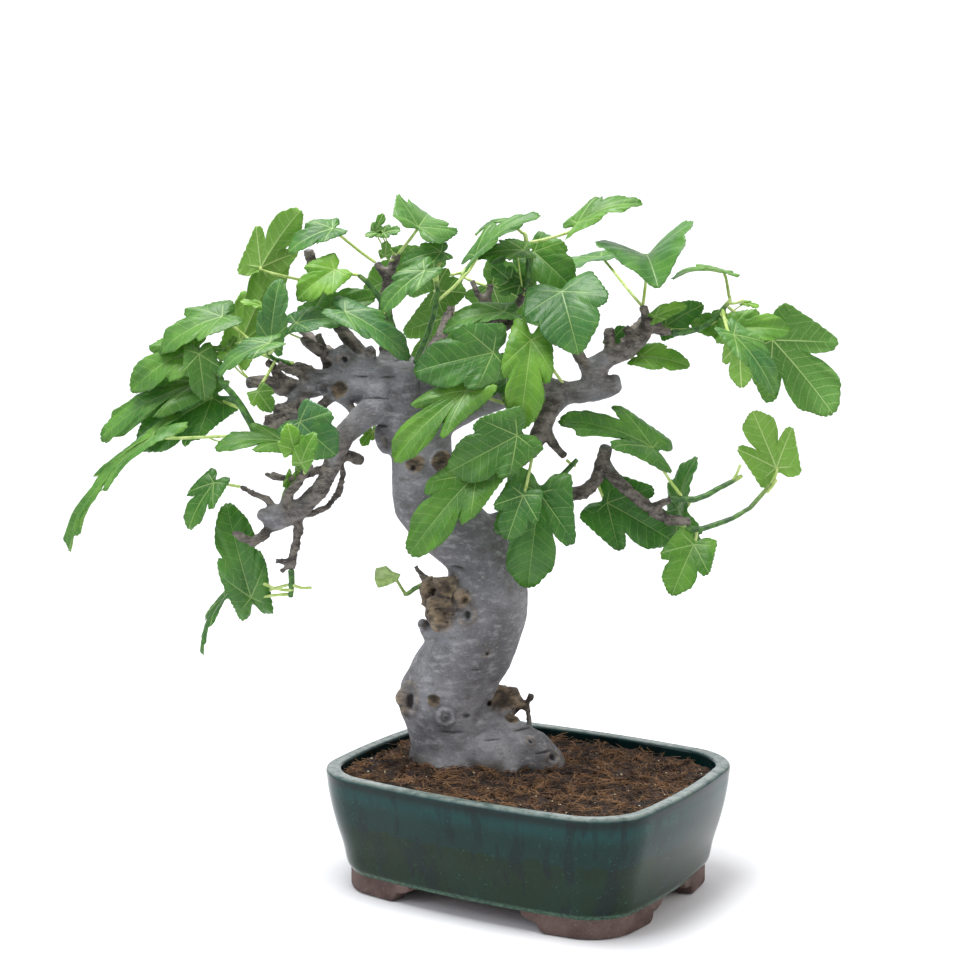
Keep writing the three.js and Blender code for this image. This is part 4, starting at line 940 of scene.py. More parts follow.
def make_wood():
    """The tree's wood and its stubs under one skin, evened out, then folded, burred and marked."""
    grown = merged_copy("tree")
    tree = BVHTree.FromPolygons(*plain(grown))
    parts = [plain(grown)]
    for depth, thick, thin, way in STUBS:
        path = [Vector(in_tree(x, depth, z)) for x, z in way]
        place, face, _, _ = tree.find_nearest(path[0])
        path[0] = place - face * thick * 0.8 * MM
        parts.append(tube(path, [thick * MM, thin * 1.1 * MM, thin * MM]))
    mesh = reskinned(mesh_from("grown", *joined(parts)), BARK_GRID)
    edges = edges_of(mesh)
    co = points_of(mesh)
    thick = thickness_of(mesh, co, normals_of(mesh), 80 * MM)
    thick = relax(thick[:, None], edges, 25, 0.6)
    broad = smoothstep(9 * MM, 34 * MM, thick)
    co = relax(co, edges, 4, 0.5)
    for _ in range(60):
        co = relax(co, edges, 1, 0.62 * broad)
        co = relax(co, edges, 1, -0.60 * broad)
    co = relax(co, edges, 14, 0.7 * broad)
    set_points(mesh, co)
    normal = normals_of(mesh)
    broad, thick = broad[:, 0], thick[:, 0]
    twig = 1 - smoothstep(12 * MM, 24 * MM, thick)

    push = 2.2 * MM * broad * lumps(co, 30 * MM, 21) + 0.6 * MM * broad * lumps(co, 9 * MM, 22)
    push += twig * (0.85 * MM * lumps(co, 6 * MM, 23) + 0.45 * MM * lumps(co, 2.6 * MM, 24))
    # the narrow rings that each winter's bud scales leave round a twig
    way = way_along(co, edges, np.flatnonzero(co[:, 2] < np.min(co[:, 2]) + 2 * MM))
    turns = way / (5.6 * MM) + 1.1 * lumps(co, 9 * MM, 26)
    rings = np.abs((turns % 1) - 0.5) * 2
    slim = (1 - smoothstep(11 * MM, 19 * MM, thick)) * smoothstep(-0.5, 0.2, lumps(co, 18 * MM, 27))
    push += slim * MM * (0.6 * smoothstep(0.6, 0.97, rings) - 0.1)
    push += 0.16 * MM * lumps(co, 2.6 * MM, 25)
    # the crown, cut back every winter, has healed into folds
    folded = broad * smoothstep(370 * MM, 410 * MM, co[:, 2])
    folds = 3.4 * (np.sqrt(np.abs(lumps(co, 22 * MM, 28))) - 0.5) + 0.7 * lumps(co, 6 * MM, 29)
    push += folded * MM * folds
    marks = np.zeros((len(co), 3))
    marks[:, 0] = slim * 0.4 * smoothstep(0.3, 0.1, rings)
    for x, depth, z, size in BURRS:
        centre = np.array(in_tree(x, depth, z))
        d = np.linalg.norm(co - centre, axis=1) / (size * MM)
        near = smoothstep(1.25, 0.75, d)
        cells = np.abs(lumps(co, 10 * MM, 31)) + 0.35 * np.abs(lumps(co, 4.5 * MM, 32))
        push += near * (6.0 * MM * (np.sqrt(cells) - 0.58))
        marks[:, 1] = np.maximum(marks[:, 1], near * 0.9)
        # painted shade in the burr's crevices, where the skin sinks lowest
        marks[:, 0] = np.maximum(marks[:, 0], near * smoothstep(0.22, 0.05, cells))
    tree = BVHTree.FromPolygons(*plain(mesh))
    for kind, x, z, size, tall in MARKS:
        aim = (in_tree(x, 0, z) - FRONT_POINT).normalized()
        place, face, _, _ = tree.ray_cast(FRONT_POINT, aim, 3.0)
        if place is None:
            continue
        across = Vector((0, 0, 1)).cross(face).normalized()
        upward = face.cross(across).normalized()
        rel = co - np.array(place)
        a, b = rel @ np.array(across) / (size * MM), rel @ np.array(upward) / (size * MM * tall)
        deep = np.abs(rel @ np.array(face)) / (size * MM)
        d = np.sqrt(a * a + b * b + 0.15 * deep * deep)
        d = d + 0.16 * lumps(co, 4 * MM, 41)
        near = np.linalg.norm(rel, axis=1) < size * MM * max(1, tall) * 2.2
        if kind == "knot":
            lip = np.exp(-((d - 0.85) / 0.28) ** 2)
            core = np.exp(-(d / 0.45) ** 2)
            push += near * MM * size * (0.24 * lip - 0.20 * core)
            marks[:, 1] = np.maximum(marks[:, 1], near * smoothstep(1.0, 0.7, d))
            # painted shade in the knot's sunk core
            marks[:, 0] = np.maximum(marks[:, 0], near * core * 0.75)
        elif kind == "ring":
            waves = np.cos(d * 3.1 * math.pi) * np.exp(-(d / 0.95) ** 4)
            push += near * MM * size * 0.075 * waves
            shade = (0.55 * smoothstep(0.3, -0.8, waves) * smoothstep(1.2, 0.9, d)
                     + 0.7 * smoothstep(0.2, 0.1, d))
            marks[:, 0] = np.maximum(marks[:, 0], near * shade)
        elif kind in ("pit", "hollow"):
            well = np.exp(-(d / 0.6) ** 2)
            lip = np.exp(-((d - 1.05) / 0.25) ** 2)
            push += near * MM * size * (0.16 * lip - 0.55 * well)
            # painted shade in the sunk well of the pit or hollow
            marks[:, 0] = np.maximum(marks[:, 0], near * smoothstep(0.35, 0.75, well))
            marks[:, 1] = np.maximum(marks[:, 1], near * 0.5 * lip)
        else:
            line = np.exp(-((np.abs(b) + 0.25 * a * a) / 0.22) ** 2) * smoothstep(1.1, 0.8, np.abs(a))
            push += near * -MM * 1.6 * line
            # painted shade along the sunk crack
            marks[:, 0] = np.maximum(marks[:, 0], near * line)
    # the foot, stained by the wet mix
    low_foot = co[:, 2] < EARTH_TOP
    marks[:, 2] = np.where(low_foot, 0.85 * smoothstep(EARTH_TOP, EARTH_LOW, co[:, 2])
                           * smoothstep(-0.3, 0.5, lumps(co, 14 * MM, 51)), 0)
    co = co + normal * push[:, None]
    set_points(mesh, co)
    # painted shade in every hollow of the skin, by how far it sinks below its neighbours
    crevice = relax(co, edges, 6, 0.6) - co
    hollow = np.einsum("ij,ij->i", crevice, normals_of(mesh)) / MM
    marks[:, 0] = np.maximum(marks[:, 0], smoothstep(0.18, 0.6, hollow) * 0.8)
    set_attribute(mesh, "marks", np.clip(marks, 0, 1))
    set_attribute(mesh, "twig", np.clip(twig, 0, 1))
    mesh.materials.clear()
    mesh.materials.append(FINISH["bark"])
    # the flat of the bark needs far fewer faces than its knots and rings
    wood = add_object("trunk_and_branches", mesh)
    thinned = wood.modifiers.new("thinned", "DECIMATE")
    thinned.ratio = FACES_KEPT
    wood.data = evaluated_mesh(wood)
    wood.modifiers.clear()
    smooth_shaded(wood.data)
    return finish_piece(wood, ["tree"])


# ---- leaves --------------------------------------------------------------------------------------
# A packed leaf is a net: a centre, and RING points each half way out and on the margin, BLADE thick.
RING = 10
BLADE = 0.9 * MM
LEAF_SLOT, STEM_SLOT = 0, 1


def leaf_nets(bm):
    """Each leaf in a node: its centre, its half-way ring and its margin, of ten points each, the
    direction through the blade, and the points that belong to the blade."""
    found = []
    place = {v.index: np.array(v.co) for v in bm.verts}
    for v in bm.verts:
        if len(v.link_faces) != RING or len(v.link_edges) != RING:
            continue
        follow = {}
        for face in v.link_faces:
            loop = next(l for l in face.loops if l.vert == v)
            follow[loop.link_loop_prev.vert] = loop.link_loop_next.vert
        ring = [next(iter(follow))]
        while len(ring) < RING and follow.get(ring[-1]) is not None:
            ring.append(follow[ring[-1]])
        if len(set(ring)) != RING or follow.get(ring[-1]) != ring[0]:
            continue
        margin = [None] * RING
        for k in range(RING):
            a, b = ring[k], ring[(k + 1) % RING]
            edge = next((e for e in a.link_edges if e.other_vert(a) == b), None)
            beyond = [f for f in edge.link_faces if v not in f.verts] if edge else []
            if len(beyond) == 1:
                margin[(k + 1) % RING] = next(w for w in beyond[0].verts if w not in (a, b))
        if None in margin or len(set(margin)) != RING:
            continue
        reach = [np.linalg.norm(place[w.index] - place[v.index]) for w in margin]
        first = int(np.argmin(reach))
        if int(np.argmax(reach)) != (first + 5) % RING or max(reach) < 8 * MM:
            continue
        ring = ring[first:] + ring[:first]
        margin = margin[first:] + margin[:first]
        through = []
        for w in margin:
            for e in w.link_edges:
                other = e.other_vert(w)
                gap = place[other.index] - place[w.index]
                if abs(np.linalg.norm(gap) - BLADE) < 0.02 * MM:
                    through.append(gap)
        if len(through) < 5:
            continue
        through = np.median(np.array(through), axis=0)
        tops = [v] + ring + margin
        found.append({
            "centre": place[v.index], "half": np.array([place[w.index] for w in ring]),
            "rim": np.array([place[w.index] for w in margin]), "through": through, "tops": tops,
        })
    for net in found:
        wanted = np.array([place[w.index] + net["through"] for w in net["tops"][1:]])
        under = [w for w in bm.verts
                 if np.min(np.linalg.norm(wanted - place[w.index], axis=1)) < 0.08 * MM]
        net["blade"] = set(net["tops"]) | set(under)
    return found


def closed_curve(points, s):
    """A smooth closed curve through evenly numbered points, read at places s."""
    n = len(points)
    i = np.floor(s).astype(int)
    t = (s - i)[:, None]
    a, b, c, d = (points[(i + k) % n] for k in (-1, 0, 1, 2))
    return 0.5 * (2 * b + (c - a) * t + (2 * a - 5 * b + 4 * c - d) * t ** 2
                  + (3 * b - a - 3 * c + d) * t ** 3)


def lobed_outline(plan):
    """The finished margin drawn round a ten-point plan: round lobes, narrow sinuses, heart base."""
    notch, tip = plan[0], plan[5]

    def mix(a, b, t):
        return a + (b - a) * t

    sides = []
    for base, lobe, sinus, shoulder in ((1, 2, 3, 4), (9, 8, 7, 6)):
        out = np.array([-tip[1], tip[0]])
        out = out * np.sign(plan[base] @ out)
        base, lobe, sinus, shoulder = (plan[k] for k in (base, lobe, sinus, shoulder))
        sides.append([
            mix(notch, base, 0.45) - tip * 0.07, base * 1.14 - tip * 0.03,
            mix(base, lobe, 0.30) * 1.17 - tip * 0.02, mix(base, lobe, 0.66) * 1.14,
            lobe * 1.07 - tip * 0.01, mix(lobe, sinus, 0.36) * 1.07 + tip * 0.065,
            mix(lobe, sinus, 0.78) + tip * 0.045, sinus * 0.99 + tip * 0.02,
            mix(sinus, shoulder, 0.42) * 1.03 + out * 0.045, shoulder * 1.03 + out * 0.05,
            mix(shoulder, tip, 0.42) * 1.02 + out * 0.065, mix(shoulder, tip, 0.8) * 1.03 + out * 0.05,
        ])
    return np.array([notch * 0.75] + sides[0] + [tip * 1.01] + sides[1][::-1])


VEIN_AT = (1.15, 2.05, 5.0, 7.95, 8.85)
SECTOR_END = (1.5, 3.25, 6.75, 8.5, 10.0)
VEIN_STEP = 8.0


def blade_of(net, young, painted_sheen, seed):
    """A finished blade on a net: rounded lobes, toothed wavy margin, puffed between its veins."""
    rng = np.random.default_rng(seed)
    centre, half, rim = net["centre"], net["half"], net["rim"]
    length = np.linalg.norm(rim[5] - centre)
    lift = -net["through"] / np.linalg.norm(net["through"])
    n = 200 if length > 42 * MM else 150 if length > 28 * MM else 100
    rows = 15 if length > 42 * MM else 11
    forward = (rim[5] - centre) / length
    sideways = np.cross(lift, forward)
    plan = np.stack([(rim - centre) @ forward, (rim - centre) @ sideways], axis=1)
    outline = lobed_outline(plan)
    margin = closed_curve(outline, np.arange(n) * len(outline) / n)
    run = np.concatenate([[0], np.cumsum(np.linalg.norm(np.diff(margin, axis=0), axis=1))])
    reach = np.linalg.norm(margin, axis=1)
    period = (3.4 + 1.4 * length / (70 * MM)) * MM
    phase = run / period + 0.6 * np.sin(run / (9 * MM) + rng.uniform(0, 6))
    tooth = (np.abs(np.sin(math.pi * phase)) - 0.6) * (0.5 + 0.6 * length / (60 * MM)) * MM
    tooth *= smoothstep(4 * MM, 11 * MM, reach)
    sway = 0.025 * np.sin(run / (15 * MM) + rng.uniform(0, 6))
    margin = margin * (1 + tooth / np.maximum(reach, 6 * MM) + sway)[:, None]

    # where each margin point lies on the net: its place s round the net's own outline
    fine = np.arange(1200) * RING / 1200
    net_plan = closed_curve(plan, fine)
    bearing = np.unwrap(np.arctan2(net_plan[:, 1], net_plan[:, 0]))
    wanted = np.arctan2(margin[:, 1], margin[:, 0])
    wanted += 2 * math.pi * np.round((np.interp(np.arange(n) / n, [0, 1], [bearing[0], bearing[-1]]) - wanted)
                                    / (2 * math.pi))
    rising = bearing[-1] > bearing[0]
    order = bearing if rising else -bearing
    s = np.interp(wanted if rising else -wanted, np.maximum.accumulate(order), fine)
    half_s, rim_s, plan_s = (closed_curve(p, s) for p in (half, rim, plan))
    beyond = np.linalg.norm(margin, axis=1) / np.linalg.norm(plan_s, axis=1)

    r = np.linspace(0, 1, rows + 1)[1:] ** 0.9
    share = (r[:, None] * beyond[None, :]).reshape(-1)
    s_all = np.tile(s, rows)
    r_all = np.repeat(r, n)
    l0 = 2 * (share - 0.5) * (share - 1)
    l1 = 4 * share * (1 - share)
    l2 = 2 * share * (share - 0.5)
    surface = (l0[:, None] * centre + l1[:, None] * np.tile(half_s, (rows, 1))
               + l2[:, None] * np.tile(rim_s, (rows, 1)))
    flat = r_all[:, None] * np.tile(margin, (rows, 1))
    flat = np.concatenate([[[0.0, 0.0]], flat])
    surface = np.concatenate([[centre], surface])
    s_all = np.concatenate([[0.0], s_all])
    r_all = np.concatenate([[0.0], r_all])

    directions = []
    for at in VEIN_AT:
        d = closed_curve(plan, np.array([at]))[0]
        directions.append(d / np.linalg.norm(d))

    def vein_place(uv, sector):
        d = directions[sector]
        along = uv @ d / MM
        across = (uv[:, 0] * d[1] - uv[:, 1] * d[0]) / MM
        away = np.abs(across)
        step = along - 0.55 * away - 0.006 * away ** 2 + np.where(across > 0, VEIN_STEP / 2, 0)
        return np.stack([along, away, step], axis=1)

    sector = np.searchsorted(SECTOR_END, s_all % RING, side="right").clip(0, 4)
    veins = np.zeros((len(flat), 3))
    for k in range(5):
        mine = sector == k
        veins[mine] = vein_place(flat[mine], k)
    off = np.abs((veins[:, 2] / VEIN_STEP) % 1 - 0.5) * VEIN_STEP
    nearest = np.minimum(veins[:, 1] * 0.9, (VEIN_STEP / 2 - off) * 0.8 + 0.6)
    puff = (0.55 * MM * (1 - np.exp(-(nearest / 1.8) ** 2)) + 0.35 * MM) * smoothstep(0.05, 0.3, r_all)
    puff *= 0.5 + 0.5 * length / (60 * MM)
    waves = sum(part * np.sin(s_all * 2 * math.pi * turns / RING + rng.uniform(0, 6))
                for part, turns in ((1, 7), (0.7, 12)))
    ripple = 0.016 * length * r_all ** 3 * waves
    droop = -0.03 * length * smoothstep(0.55, 1.05, r_all) ** 2
    bend = 0.025 * length * lumps(on_its_own_level(flat, seed), 22 * MM, seed)
    surface = surface + lift * (puff + ripple + droop + bend * r_all)[:, None]

    top_faces = []
    for i in range(n):
        top_faces.append((0, 1 + (i + 1) % n, 1 + i))
    for row in range(rows - 1):
        for i in range(n):
            a, b = 1 + row * n + i, 1 + row * n + (i + 1) % n
            top_faces.append((a, b, b + n, a + n))
    top = mesh_from("blade", surface, top_faces)
    normal = normals_of(top)
    bpy.data.meshes.remove(top)
    ridge = 0.35 * MM * np.exp(-(veins[:, 1] / 0.8) ** 2) * (1 - r_all) * smoothstep(0, 0.1, r_all)
    thick = 0.42 * MM * (1 - 0.45 * r_all) + ridge
    # leaf faces run clockwise seen from above, so the skin's own normals may point down
    if np.mean(normal @ lift) < 0:
        normal = -normal
        top_faces = [tuple(reversed(f)) for f in top_faces]
    lower = surface - normal * thick[:, None]
    count = len(surface)
    faces = list(top_faces) + [tuple(count + i for i in reversed(f)) for f in top_faces]
    base = 1 + (rows - 1) * n
    for i in range(n):
        a, b = base + i, base + (i + 1) % n
        faces.append((a, b, b + count, a + count))
    points = np.concatenate([surface, lower])
    corner_sector = []
    for f in faces:
        ids = [i % count for i in f]
        marks = [s_all[i] for i in ids if i != 0]
        span = [m + RING if max(marks) - m > RING / 2 else m for m in marks]
        middle = (sum(span) / len(span)) % RING
        corner_sector.append(int(np.searchsorted(SECTOR_END, middle, side="right").clip(0, 4)))
    per_sector = [vein_place(flat, k) for k in range(5)]
    corners = np.array([per_sector[k][i % count] for f, k in zip(faces, corner_sector) for i in f])
    leafy = np.zeros((2 * count, 3))
    # the first tone is leaf age with painted light and shade, the second a painted sheen
    leafy[:, 0], leafy[:, 1] = young, painted_sheen
    leafy[count:, 2] = 1
    return points, faces, corners, leafy, np.ones(len(points)), LEAF_SLOT


def stalk_of(points, faces, thin=None):
    """A stalk, written as a blade is: no veins, no leaf tone, and thin all over unless told."""
    corners = np.zeros((sum(len(f) for f in faces), 3))
    if thin is None:
        thin = np.ones(len(points))
    return points, faces, corners, np.zeros((len(points), 3)), thin, STEM_SLOT


def growth_mesh(name, growth):
    """One mesh of blades and stalks, with the values that their finishes read."""
    points, faces, corners, leafy, thin, slots = zip(*growth)
    mesh = mesh_from(name, *joined(zip(points, faces)))
    set_attribute(mesh, "vein", np.concatenate(corners), "CORNER")
    set_attribute(mesh, "leafy", np.concatenate(leafy))
    set_attribute(mesh, "thin", np.concatenate(thin))
    mesh.materials.append(FINISH["leaf"])
    mesh.materials.append(FINISH["stem"])
    index = [slot for slot, part in zip(slots, faces) for _ in part]
    mesh.polygons.foreach_set("material_index", np.array(index, np.int32))
    smooth_shaded(mesh)
    return mesh


def on_its_own_level(flat, seed):
    """Flat places set at a height of their own in the noise, so that no two leaves bend alike."""
    return np.stack([flat[:, 0], flat[:, 1], np.full(len(flat), 0.37 * seed * MM)], axis=1)


def stem_skin(bm, nets, voxel):
    """The stalks and shoot left when the blades are taken off, closed and rounded."""
    gone = set().union(*(net["blade"] for net in nets)) if nets else set()
    bmesh.ops.delete(bm, geom=list(gone), context="VERTS")
    seen, best = set(), []
    for v in bm.verts:
        if v in seen:
            continue
        island, queue = [], [v]
        seen.add(v)
        while queue:
            w = queue.pop()
            island.append(w)
            for e in w.link_edges:
                o = e.other_vert(w)
                if o not in seen:
                    seen.add(o)
                    queue.append(o)
        if len(island) > len(best):
            best = island
    keep = set(best)
    bmesh.ops.delete(bm, geom=[v for v in bm.verts if v not in keep], context="VERTS")
    if not bm.faces:
        return None
    ends = {}
    for e in [e for e in bm.edges if len(e.link_faces) == 1]:
        middle = (e.verts[0].co + e.verts[1].co) / 2
        gaps = [(Vector(net["centre"]) - middle).length for net in nets]
        k = int(np.argmin(gaps)) if gaps else 0
        if not gaps or gaps[k] > 7 * MM:
            continue
        if k not in ends:
            ends[k] = bm.verts.new(Vector(nets[k]["centre"] + 0.35 * nets[k]["through"]))
        loop = e.link_loops[0]
        bm.faces.new((loop.link_loop_next.vert, loop.vert, ends[k]))
    bmesh.ops.holes_fill(bm, edges=[e for e in bm.edges if len(e.link_faces) == 1], sides=0)
    bmesh.ops.recalc_face_normals(bm, faces=bm.faces)
    mesh = bpy.data.meshes.new("stem")
    bm.to_mesh(mesh)
    skin = reskinned(mesh, voxel)
    bpy.data.meshes.remove(mesh)
    edges = edges_of(skin)
    co = points_of(skin)
    if not len(co):
        return None
    for _ in range(14):
        co = relax(co, edges, 1, 0.6)
        co = relax(co, edges, 1, -0.55)
    set_points(skin, co)
    normal = normals_of(skin)
    thick = relax(thickness_of(skin, co, normal, 12 * MM)[:, None], edges, 10, 0.6)[:, 0]
    thin = 1 - smoothstep(2.9 * MM, 4.0 * MM, thick)
    push = (1 - thin) * (0.25 * MM * lumps(co, 4.5 * MM, 61)) + 0.06 * MM * lumps(co, 2 * MM, 62)
    push += thin * 0.32 * MM
    co = co + normal * push[:, None]
    set_points(skin, co)
    return co, [tuple(p.vertices) for p in skin.polygons], thin


# How young (yellow-green) each leaf is, a tone that also carries painted light and shade, and
# how much painted bluish sheen it has, from 0 to 1.
LEAF_TONE = {
    "leaf_far_right_under": (0.12, 0), "leaf_far_right_long": (0.3, 0.55),
    "leaf_right_dark": (0.1, 0), "leaf_right_young": (0.6, 0), "leaf_top_right_big": (0.2, 0.35),
    "leaf_top_right_edge": (0.25, 0.4), "leaf_mid_right_big": (0.2, 0.45),
    "leaf_right_low": (0.55, 0), "leaf_lower_right_dark": (0.05, 0),
    "leaf_lower_right_lit": (0.35, 0), "leaf_lower_right_blue": (0.2, 0.3),
    "leaf_right_spiked": (0.25, 0.1), "leaf_lone": (0.6, 0), "leaf_mid_bright": (0.6, 0),
    "leaf_mid_behind": (0.7, 0), "leaf_low_dark": (0.05, 0.1), "leaf_front_long": (0.3, 0),
    "leaf_front_dark": (0.2, 0), "leaf_front_forked": (0.45, 0), "leaf_mid_large": (0.1, 0.1),
    "leaf_mid_shade": (0.05, 0), "leaf_mid_edge": (0.2, 0.2), "leaf_top_long": (0.2, 0.2),
    "leaf_peak_right": (0.4, 0), "leaf_peak_left": (0.3, 0.2), "leaf_top_left": (0.2, 0.4),
    "leaf_left_bright": (0.7, 0), "leaf_left_shade": (0.2, 0), "leaf_left_blue": (0.2, 0.6),
    "leaf_crown_blue": (0.2, 0.55), "leaf_left_upright": (0.2, 0.6), "leaf_left_low": (0.3, 0.4),
    "leaf_left_lobed": (0.5, 0), "leaf_left_far": (0.3, 0.1), "leaf_left_green": (0.35, 0),
    "leaf_left_dark": (0.1, 0.1), "leaf_left_drooping": (0.4, 0.2), "leaf_left_hook": (0.2, 0.1),
    "leaf_hang_tall": (0.15, 0.1), "leaf_cluster_flat": (0.3, 0.1),
    "leaf_cluster_blue": (0.15, 0.6), "leaf_cluster_young": (0.7, 0),
    "leaf_cluster_bright": (0.5, 0),
}
SHOOT_TONE = {
    "shoot_far_right": (0.5, 0.1), "shoot_top": (0.25, 0.1), "shoot_mid": (0.3, 0.3),
    "shoot_left": (0.25, 0.1), "shoot_crown_left": (0.6, 0), "shoot_inner": (0.1, 0.1),
    "shoot_burr": (0.2, 0.1), "shoot_ring_right": (0.2, 0.3), "shoot_hanging": (0.15, 0.2),
    "shoot_back": (0.25, 0.1),
}


def make_growth(node, tone, seed):
    """A leaf on its stalk, or a shoot with the leaves that grow on it."""
    bm = bmesh.new()
    bm.from_mesh(merged_copy(node))
    bm.verts.ensure_lookup_table()
    nets = leaf_nets(bm)
    growth = [blade_of(net, *tone, seed + 7 * k) for k, net in enumerate(nets)]
    stem = stem_skin(bm, nets, 0.5 * MM)
    bm.free()
    if stem:
        co, faces, thin = stem
        growth.append(stalk_of(co, faces, thin if nets else thin * 0.4))
    mesh = growth_mesh(node, growth)
    name = node.replace("leaf_", "blade_", 1) if node.startswith("leaf_") else node + "_grown"
    return finish_piece(add_object(name, mesh), [node])


# Young leaves too small to matter to the solids: x and z of the base and the tip, depth, width,
# how far the face turns to the front, and the two tones: age with painted light and shade, and painted sheen.
SMALL_LEAVES = [
    (-122, 528, -116, 541, -10, 0.55, 0.7, 0.4, 0.1),
    (-117, 527, -129, 526, -10, 0.6, 0.5, 0.4, 0.1),
    (-115, 527, -103, 530, -14, 0.8, 0.6, 0.3, 0.1),
    (-114, 509, -113, 520, -8, 0.8, 0.8, 0.45, 0),
    (-212, 470, -228, 475, -10, 0.6, 0.4, 0.8, 0),
    (-242, 436, -252, 437, 0, 0.7, 0.5, 0.35, 0),
    (-237, 438, -233, 446, 4, 0.7, 0.6, 0.4, 0),
    (-126, 370, -134, 360, 30, 0.8, 0.6, 0.85, 0),
    (-124, 371, -114, 364, 34, 0.8, 0.6, 0.8, 0),
    (-190, 334, -195, 312, -20, 0.45, 0.8, 0.85, 0),
    (-185, 339, -179, 346, -20, 0.6, 0.7, 0.8, 0),
    (-270, 373, -275, 359, 5, 0.5, 0.8, 0.15, 0.1),
    (169, 472, 181, 470, 0, 0.5, 0.5, 0.8, 0),
    (63, 441, 74, 453, 10, 0.7, 0.8, 0.2, 0.1),
    (-8, 486, -25, 482, 10, 0.8, 0.6, 0.15, 0.1),
    (-10, 513, -32, 506, 0, 0.7, 0.4, 0.1, 0.1),
    (-16, 490, -29, 501, 12, 0.9, 0.8, 0.1, 0.1),
    (0, 486, -13, 495, 14, 0.8, 0.7, 0.15, 0.1),
]
# Stalks whose leaves were picked off, and buds: x and z of the foot and the end.
PICKED = [(136, 314, 150, 307), (177, 304, 201, 308), (163, 332, 168, 343), (134, 311, 142, 297),
          (190, 322, 197, 331), (36, 343, 30, 347), (-191, 242, -213, 247), (-190, 246, -176, 244),
          (-186, 248, -163, 237), (-230, 373, -248, 373), (-196, 287, -216, 272), (157, 472, 168, 474)]
HALF_PLAN = ((-0.10, 0), (-0.22, 0.30), (0.26, 0.56), (0.44, 0.33), (0.78, 0.34), (1, 0))


def make_small_leaves(wood):
    """The crown's young leaves, each on a stalk from the nearest wood, and the picked stalks."""
    tree = BVHTree.FromPolygons(*plain(wood.data))
    growth = []
    for k, (x0, z0, x1, z1, depth, width, facing, young, painted_sheen) in enumerate(SMALL_LEAVES):
        base, tip = (np.array(in_tree(x, depth + d, z)) for x, z, d in ((x0, z0, 0), (x1, z1, -5)))
        forward = tip - base
        size = np.linalg.norm(forward)
        forward /= size
        front = np.array(FRONT_POINT) - base
        lift = np.array([0, 0, 1]) * (1 - facing) + facing * front / np.linalg.norm(front)
        lift -= forward * (lift @ forward)
        lift /= np.linalg.norm(lift)
        sideways = np.cross(lift, forward)
        plan = list(HALF_PLAN) + [(a, -b) for a, b in HALF_PLAN[-2:0:-1]]
        rim = []
        for a, b in plan:
            cupped = sideways + 0.35 * np.sign(b) * lift * abs(b)
            rim.append(base + size * (a * forward + b * width * cupped - 0.12 * a * a * lift))
        rim = np.array(rim)
        half = np.array([(base + p) / 2 + lift * 0.04 * size for p in rim])
        net = {"centre": base, "half": half, "rim": rim, "through": -lift * BLADE}
        growth.append(blade_of(net, young, painted_sheen, 900 + 7 * k))
        place, face, _, _ = tree.find_nearest(Vector(base))
        start = np.array(place - face * 0.8 * MM)
        bow = (start + base) / 2 - (0, 0, 0.12 * np.linalg.norm(base - start))
        path = [start, bow, base - lift * 0.3 * MM]
        growth.append(stalk_of(*tube(path, [0.9 * MM, 0.7 * MM, 0.5 * MM], 8)))
    graph = bpy.context.evaluated_depsgraph_get()
    for x0, z0, x1, z1 in PICKED:
        foot, end = ((in_tree(x, 0, z) - FRONT_POINT).normalized() for x, z in ((x0, z0), (x1, z1)))
        hit, place, _, _, _, _ = bpy.context.scene.ray_cast(graph, FRONT_POINT, foot)
        if not hit:
            continue
        away = (place - FRONT_POINT).length + 1.2 * MM
        start, stop = FRONT_POINT + foot * away, FRONT_POINT + end * (away - 3 * MM)
        bow = (start + stop) / 2 + Vector((0, 0, -0.08 * (stop - start).length))
        growth.append(stalk_of(*tube([start, bow, stop], [1.5 * MM, 1.1 * MM, 1.3 * MM], 8)))
    return finish_piece(add_object("small_leaves", growth_mesh("small_leaves", growth)))


# ---- build ---------------------------------------------------------------------------------------
make_pot()
make_feet()
soil = make_soil()
make_soil_litter(soil)
wood = make_wood()
for number, node in enumerate(SHOOTS):
    make_growth(node, SHOOT_TONE.get(node, (0.3, 0.1)), 300 + number)
for number, node in enumerate(LEAVES):
    make_growth(node, LEAF_TONE.get(node, (0.3, 0.1)), 500 + number)
make_small_leaves(wood)


# ---- studio --------------------------------------------------------------------------------------
LENS, SENSOR, TILT = 69.1, 36, math.radians(90 - 7.44)


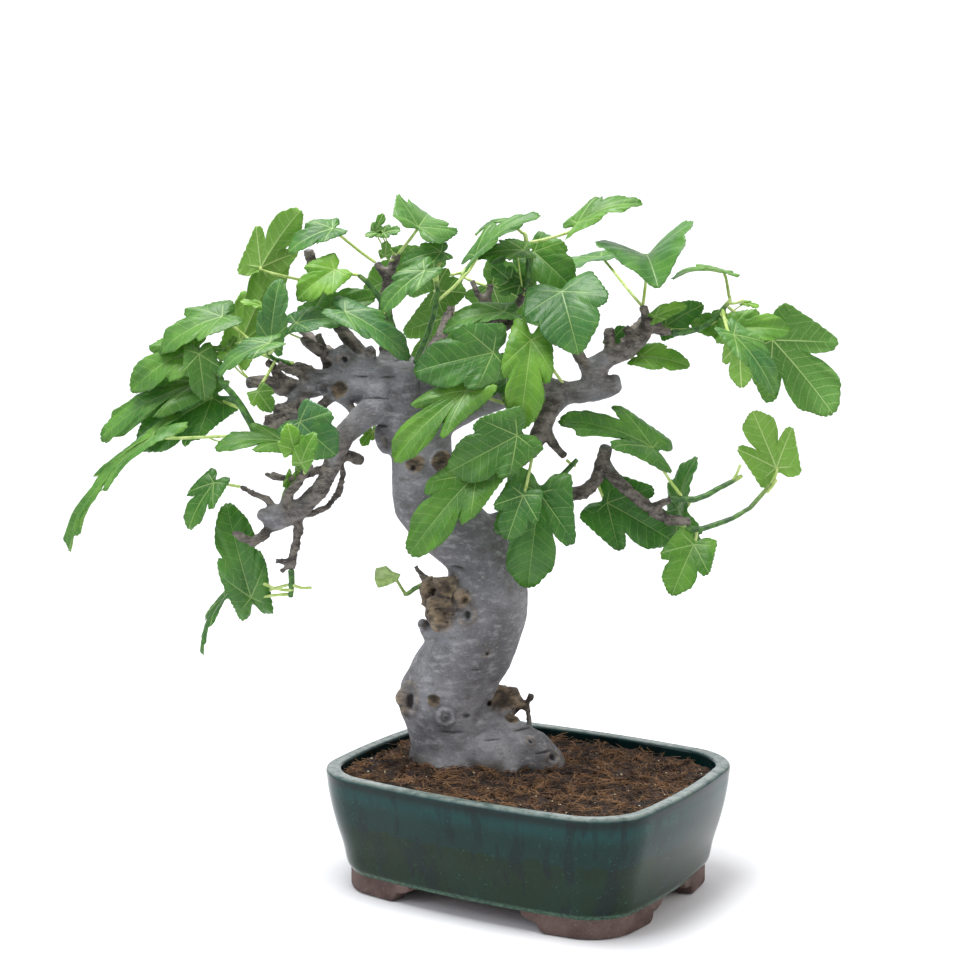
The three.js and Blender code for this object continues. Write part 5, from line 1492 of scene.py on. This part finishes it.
def make_stage():
    """A white paper sweep: flat under the pot, curving up behind it."""
    bm = bmesh.new()
    depth, half = 2.2, 3.2
    rows = []
    for k in range(25):
        t = k / 24
        if t < 0.5:
            y, z = -2.6 + (depth + 2.6) * t * 2, -0.0005
        else:
            a = (t - 0.5) * math.pi
            y, z = depth + 1.2 * math.sin(a), 1.2 * (1 - math.cos(a)) - 0.0005
        rows.append([bm.verts.new((x, y, z)) for x in (-half, half)])
    rows.append([bm.verts.new((x, depth + 1.2, 4.5)) for x in (-half, half)])
    for lower, upper in zip(rows, rows[1:]):
        bm.faces.new((lower[0], lower[1], upper[1], upper[0]))
    mesh = bpy.data.meshes.new("studio_sweep")
    bm.to_mesh(mesh)
    bm.free()
    smooth_shaded(mesh)
    floor = add_object("studio_sweep", mesh)
    floor.rotation_euler[2] = TURN
    finish, add = blank_finish("studio_paper")
    mesh.materials.append(surfaced(finish, add(SHADER, Base_Color="#f2f2f4", Roughness=0.9)))


def add_light(name, place, aim, size, power, tint="#ffffff"):
    data = bpy.data.lights.new(name, "AREA")
    data.shape = "RECTANGLE"
    data.size, data.size_y = size
    data.energy = power
    data.color = colour(tint)[:3]
    lamp = bpy.data.objects.new(name, data)
    bpy.context.scene.collection.objects.link(lamp)
    lamp.location = place
    lamp.rotation_euler = (Vector(aim) - Vector(place)).to_track_quat("-Z", "Y").to_euler()


def make_studio():
    """A soft overhead light, a window to each side, a wash on the paper, and the camera."""
    scene = bpy.context.scene
    world = bpy.data.worlds.new("studio")
    world.use_nodes = True
    world.node_tree.nodes["Background"].inputs[0].default_value = colour("#f6f8fd")
    world.node_tree.nodes["Background"].inputs[1].default_value = 0.5
    scene.view_settings.view_transform = "Standard"
    scene.world = world
    centre = Vector((0, 0, 0.3))
    c, s = math.cos(TURN), math.sin(TURN)

    def around(right, away, up):
        return (right * c - away * s, right * s + away * c, up)

    add_light("overhead", around(-0.3, -0.2, 2.1), centre, (1.1, 0.9), 47)
    add_light("left_window", around(-1.7, -1.0, 1.3), centre, (1.0, 1.4), 12, "#f3f7ff")
    add_light("right_window", around(1.8, -0.9, 1.1), centre, (0.9, 1.3), 12, "#fff8f0")
    add_light("backdrop_wash", around(0, 1.0, 2.7), around(0, 3.4, 1.1), (3.0, 0.5), 70)

    data = bpy.data.cameras.new("front")
    data.lens, data.sensor_width = LENS, SENSOR
    camera = bpy.data.objects.new("front", data)
    scene.collection.objects.link(camera)
    camera.location = FRONT_POINT
    camera.rotation_euler = (TILT, 0, TURN)
    scene.camera = camera


make_stage()
make_studio()
bpy.context.view_layer.update()
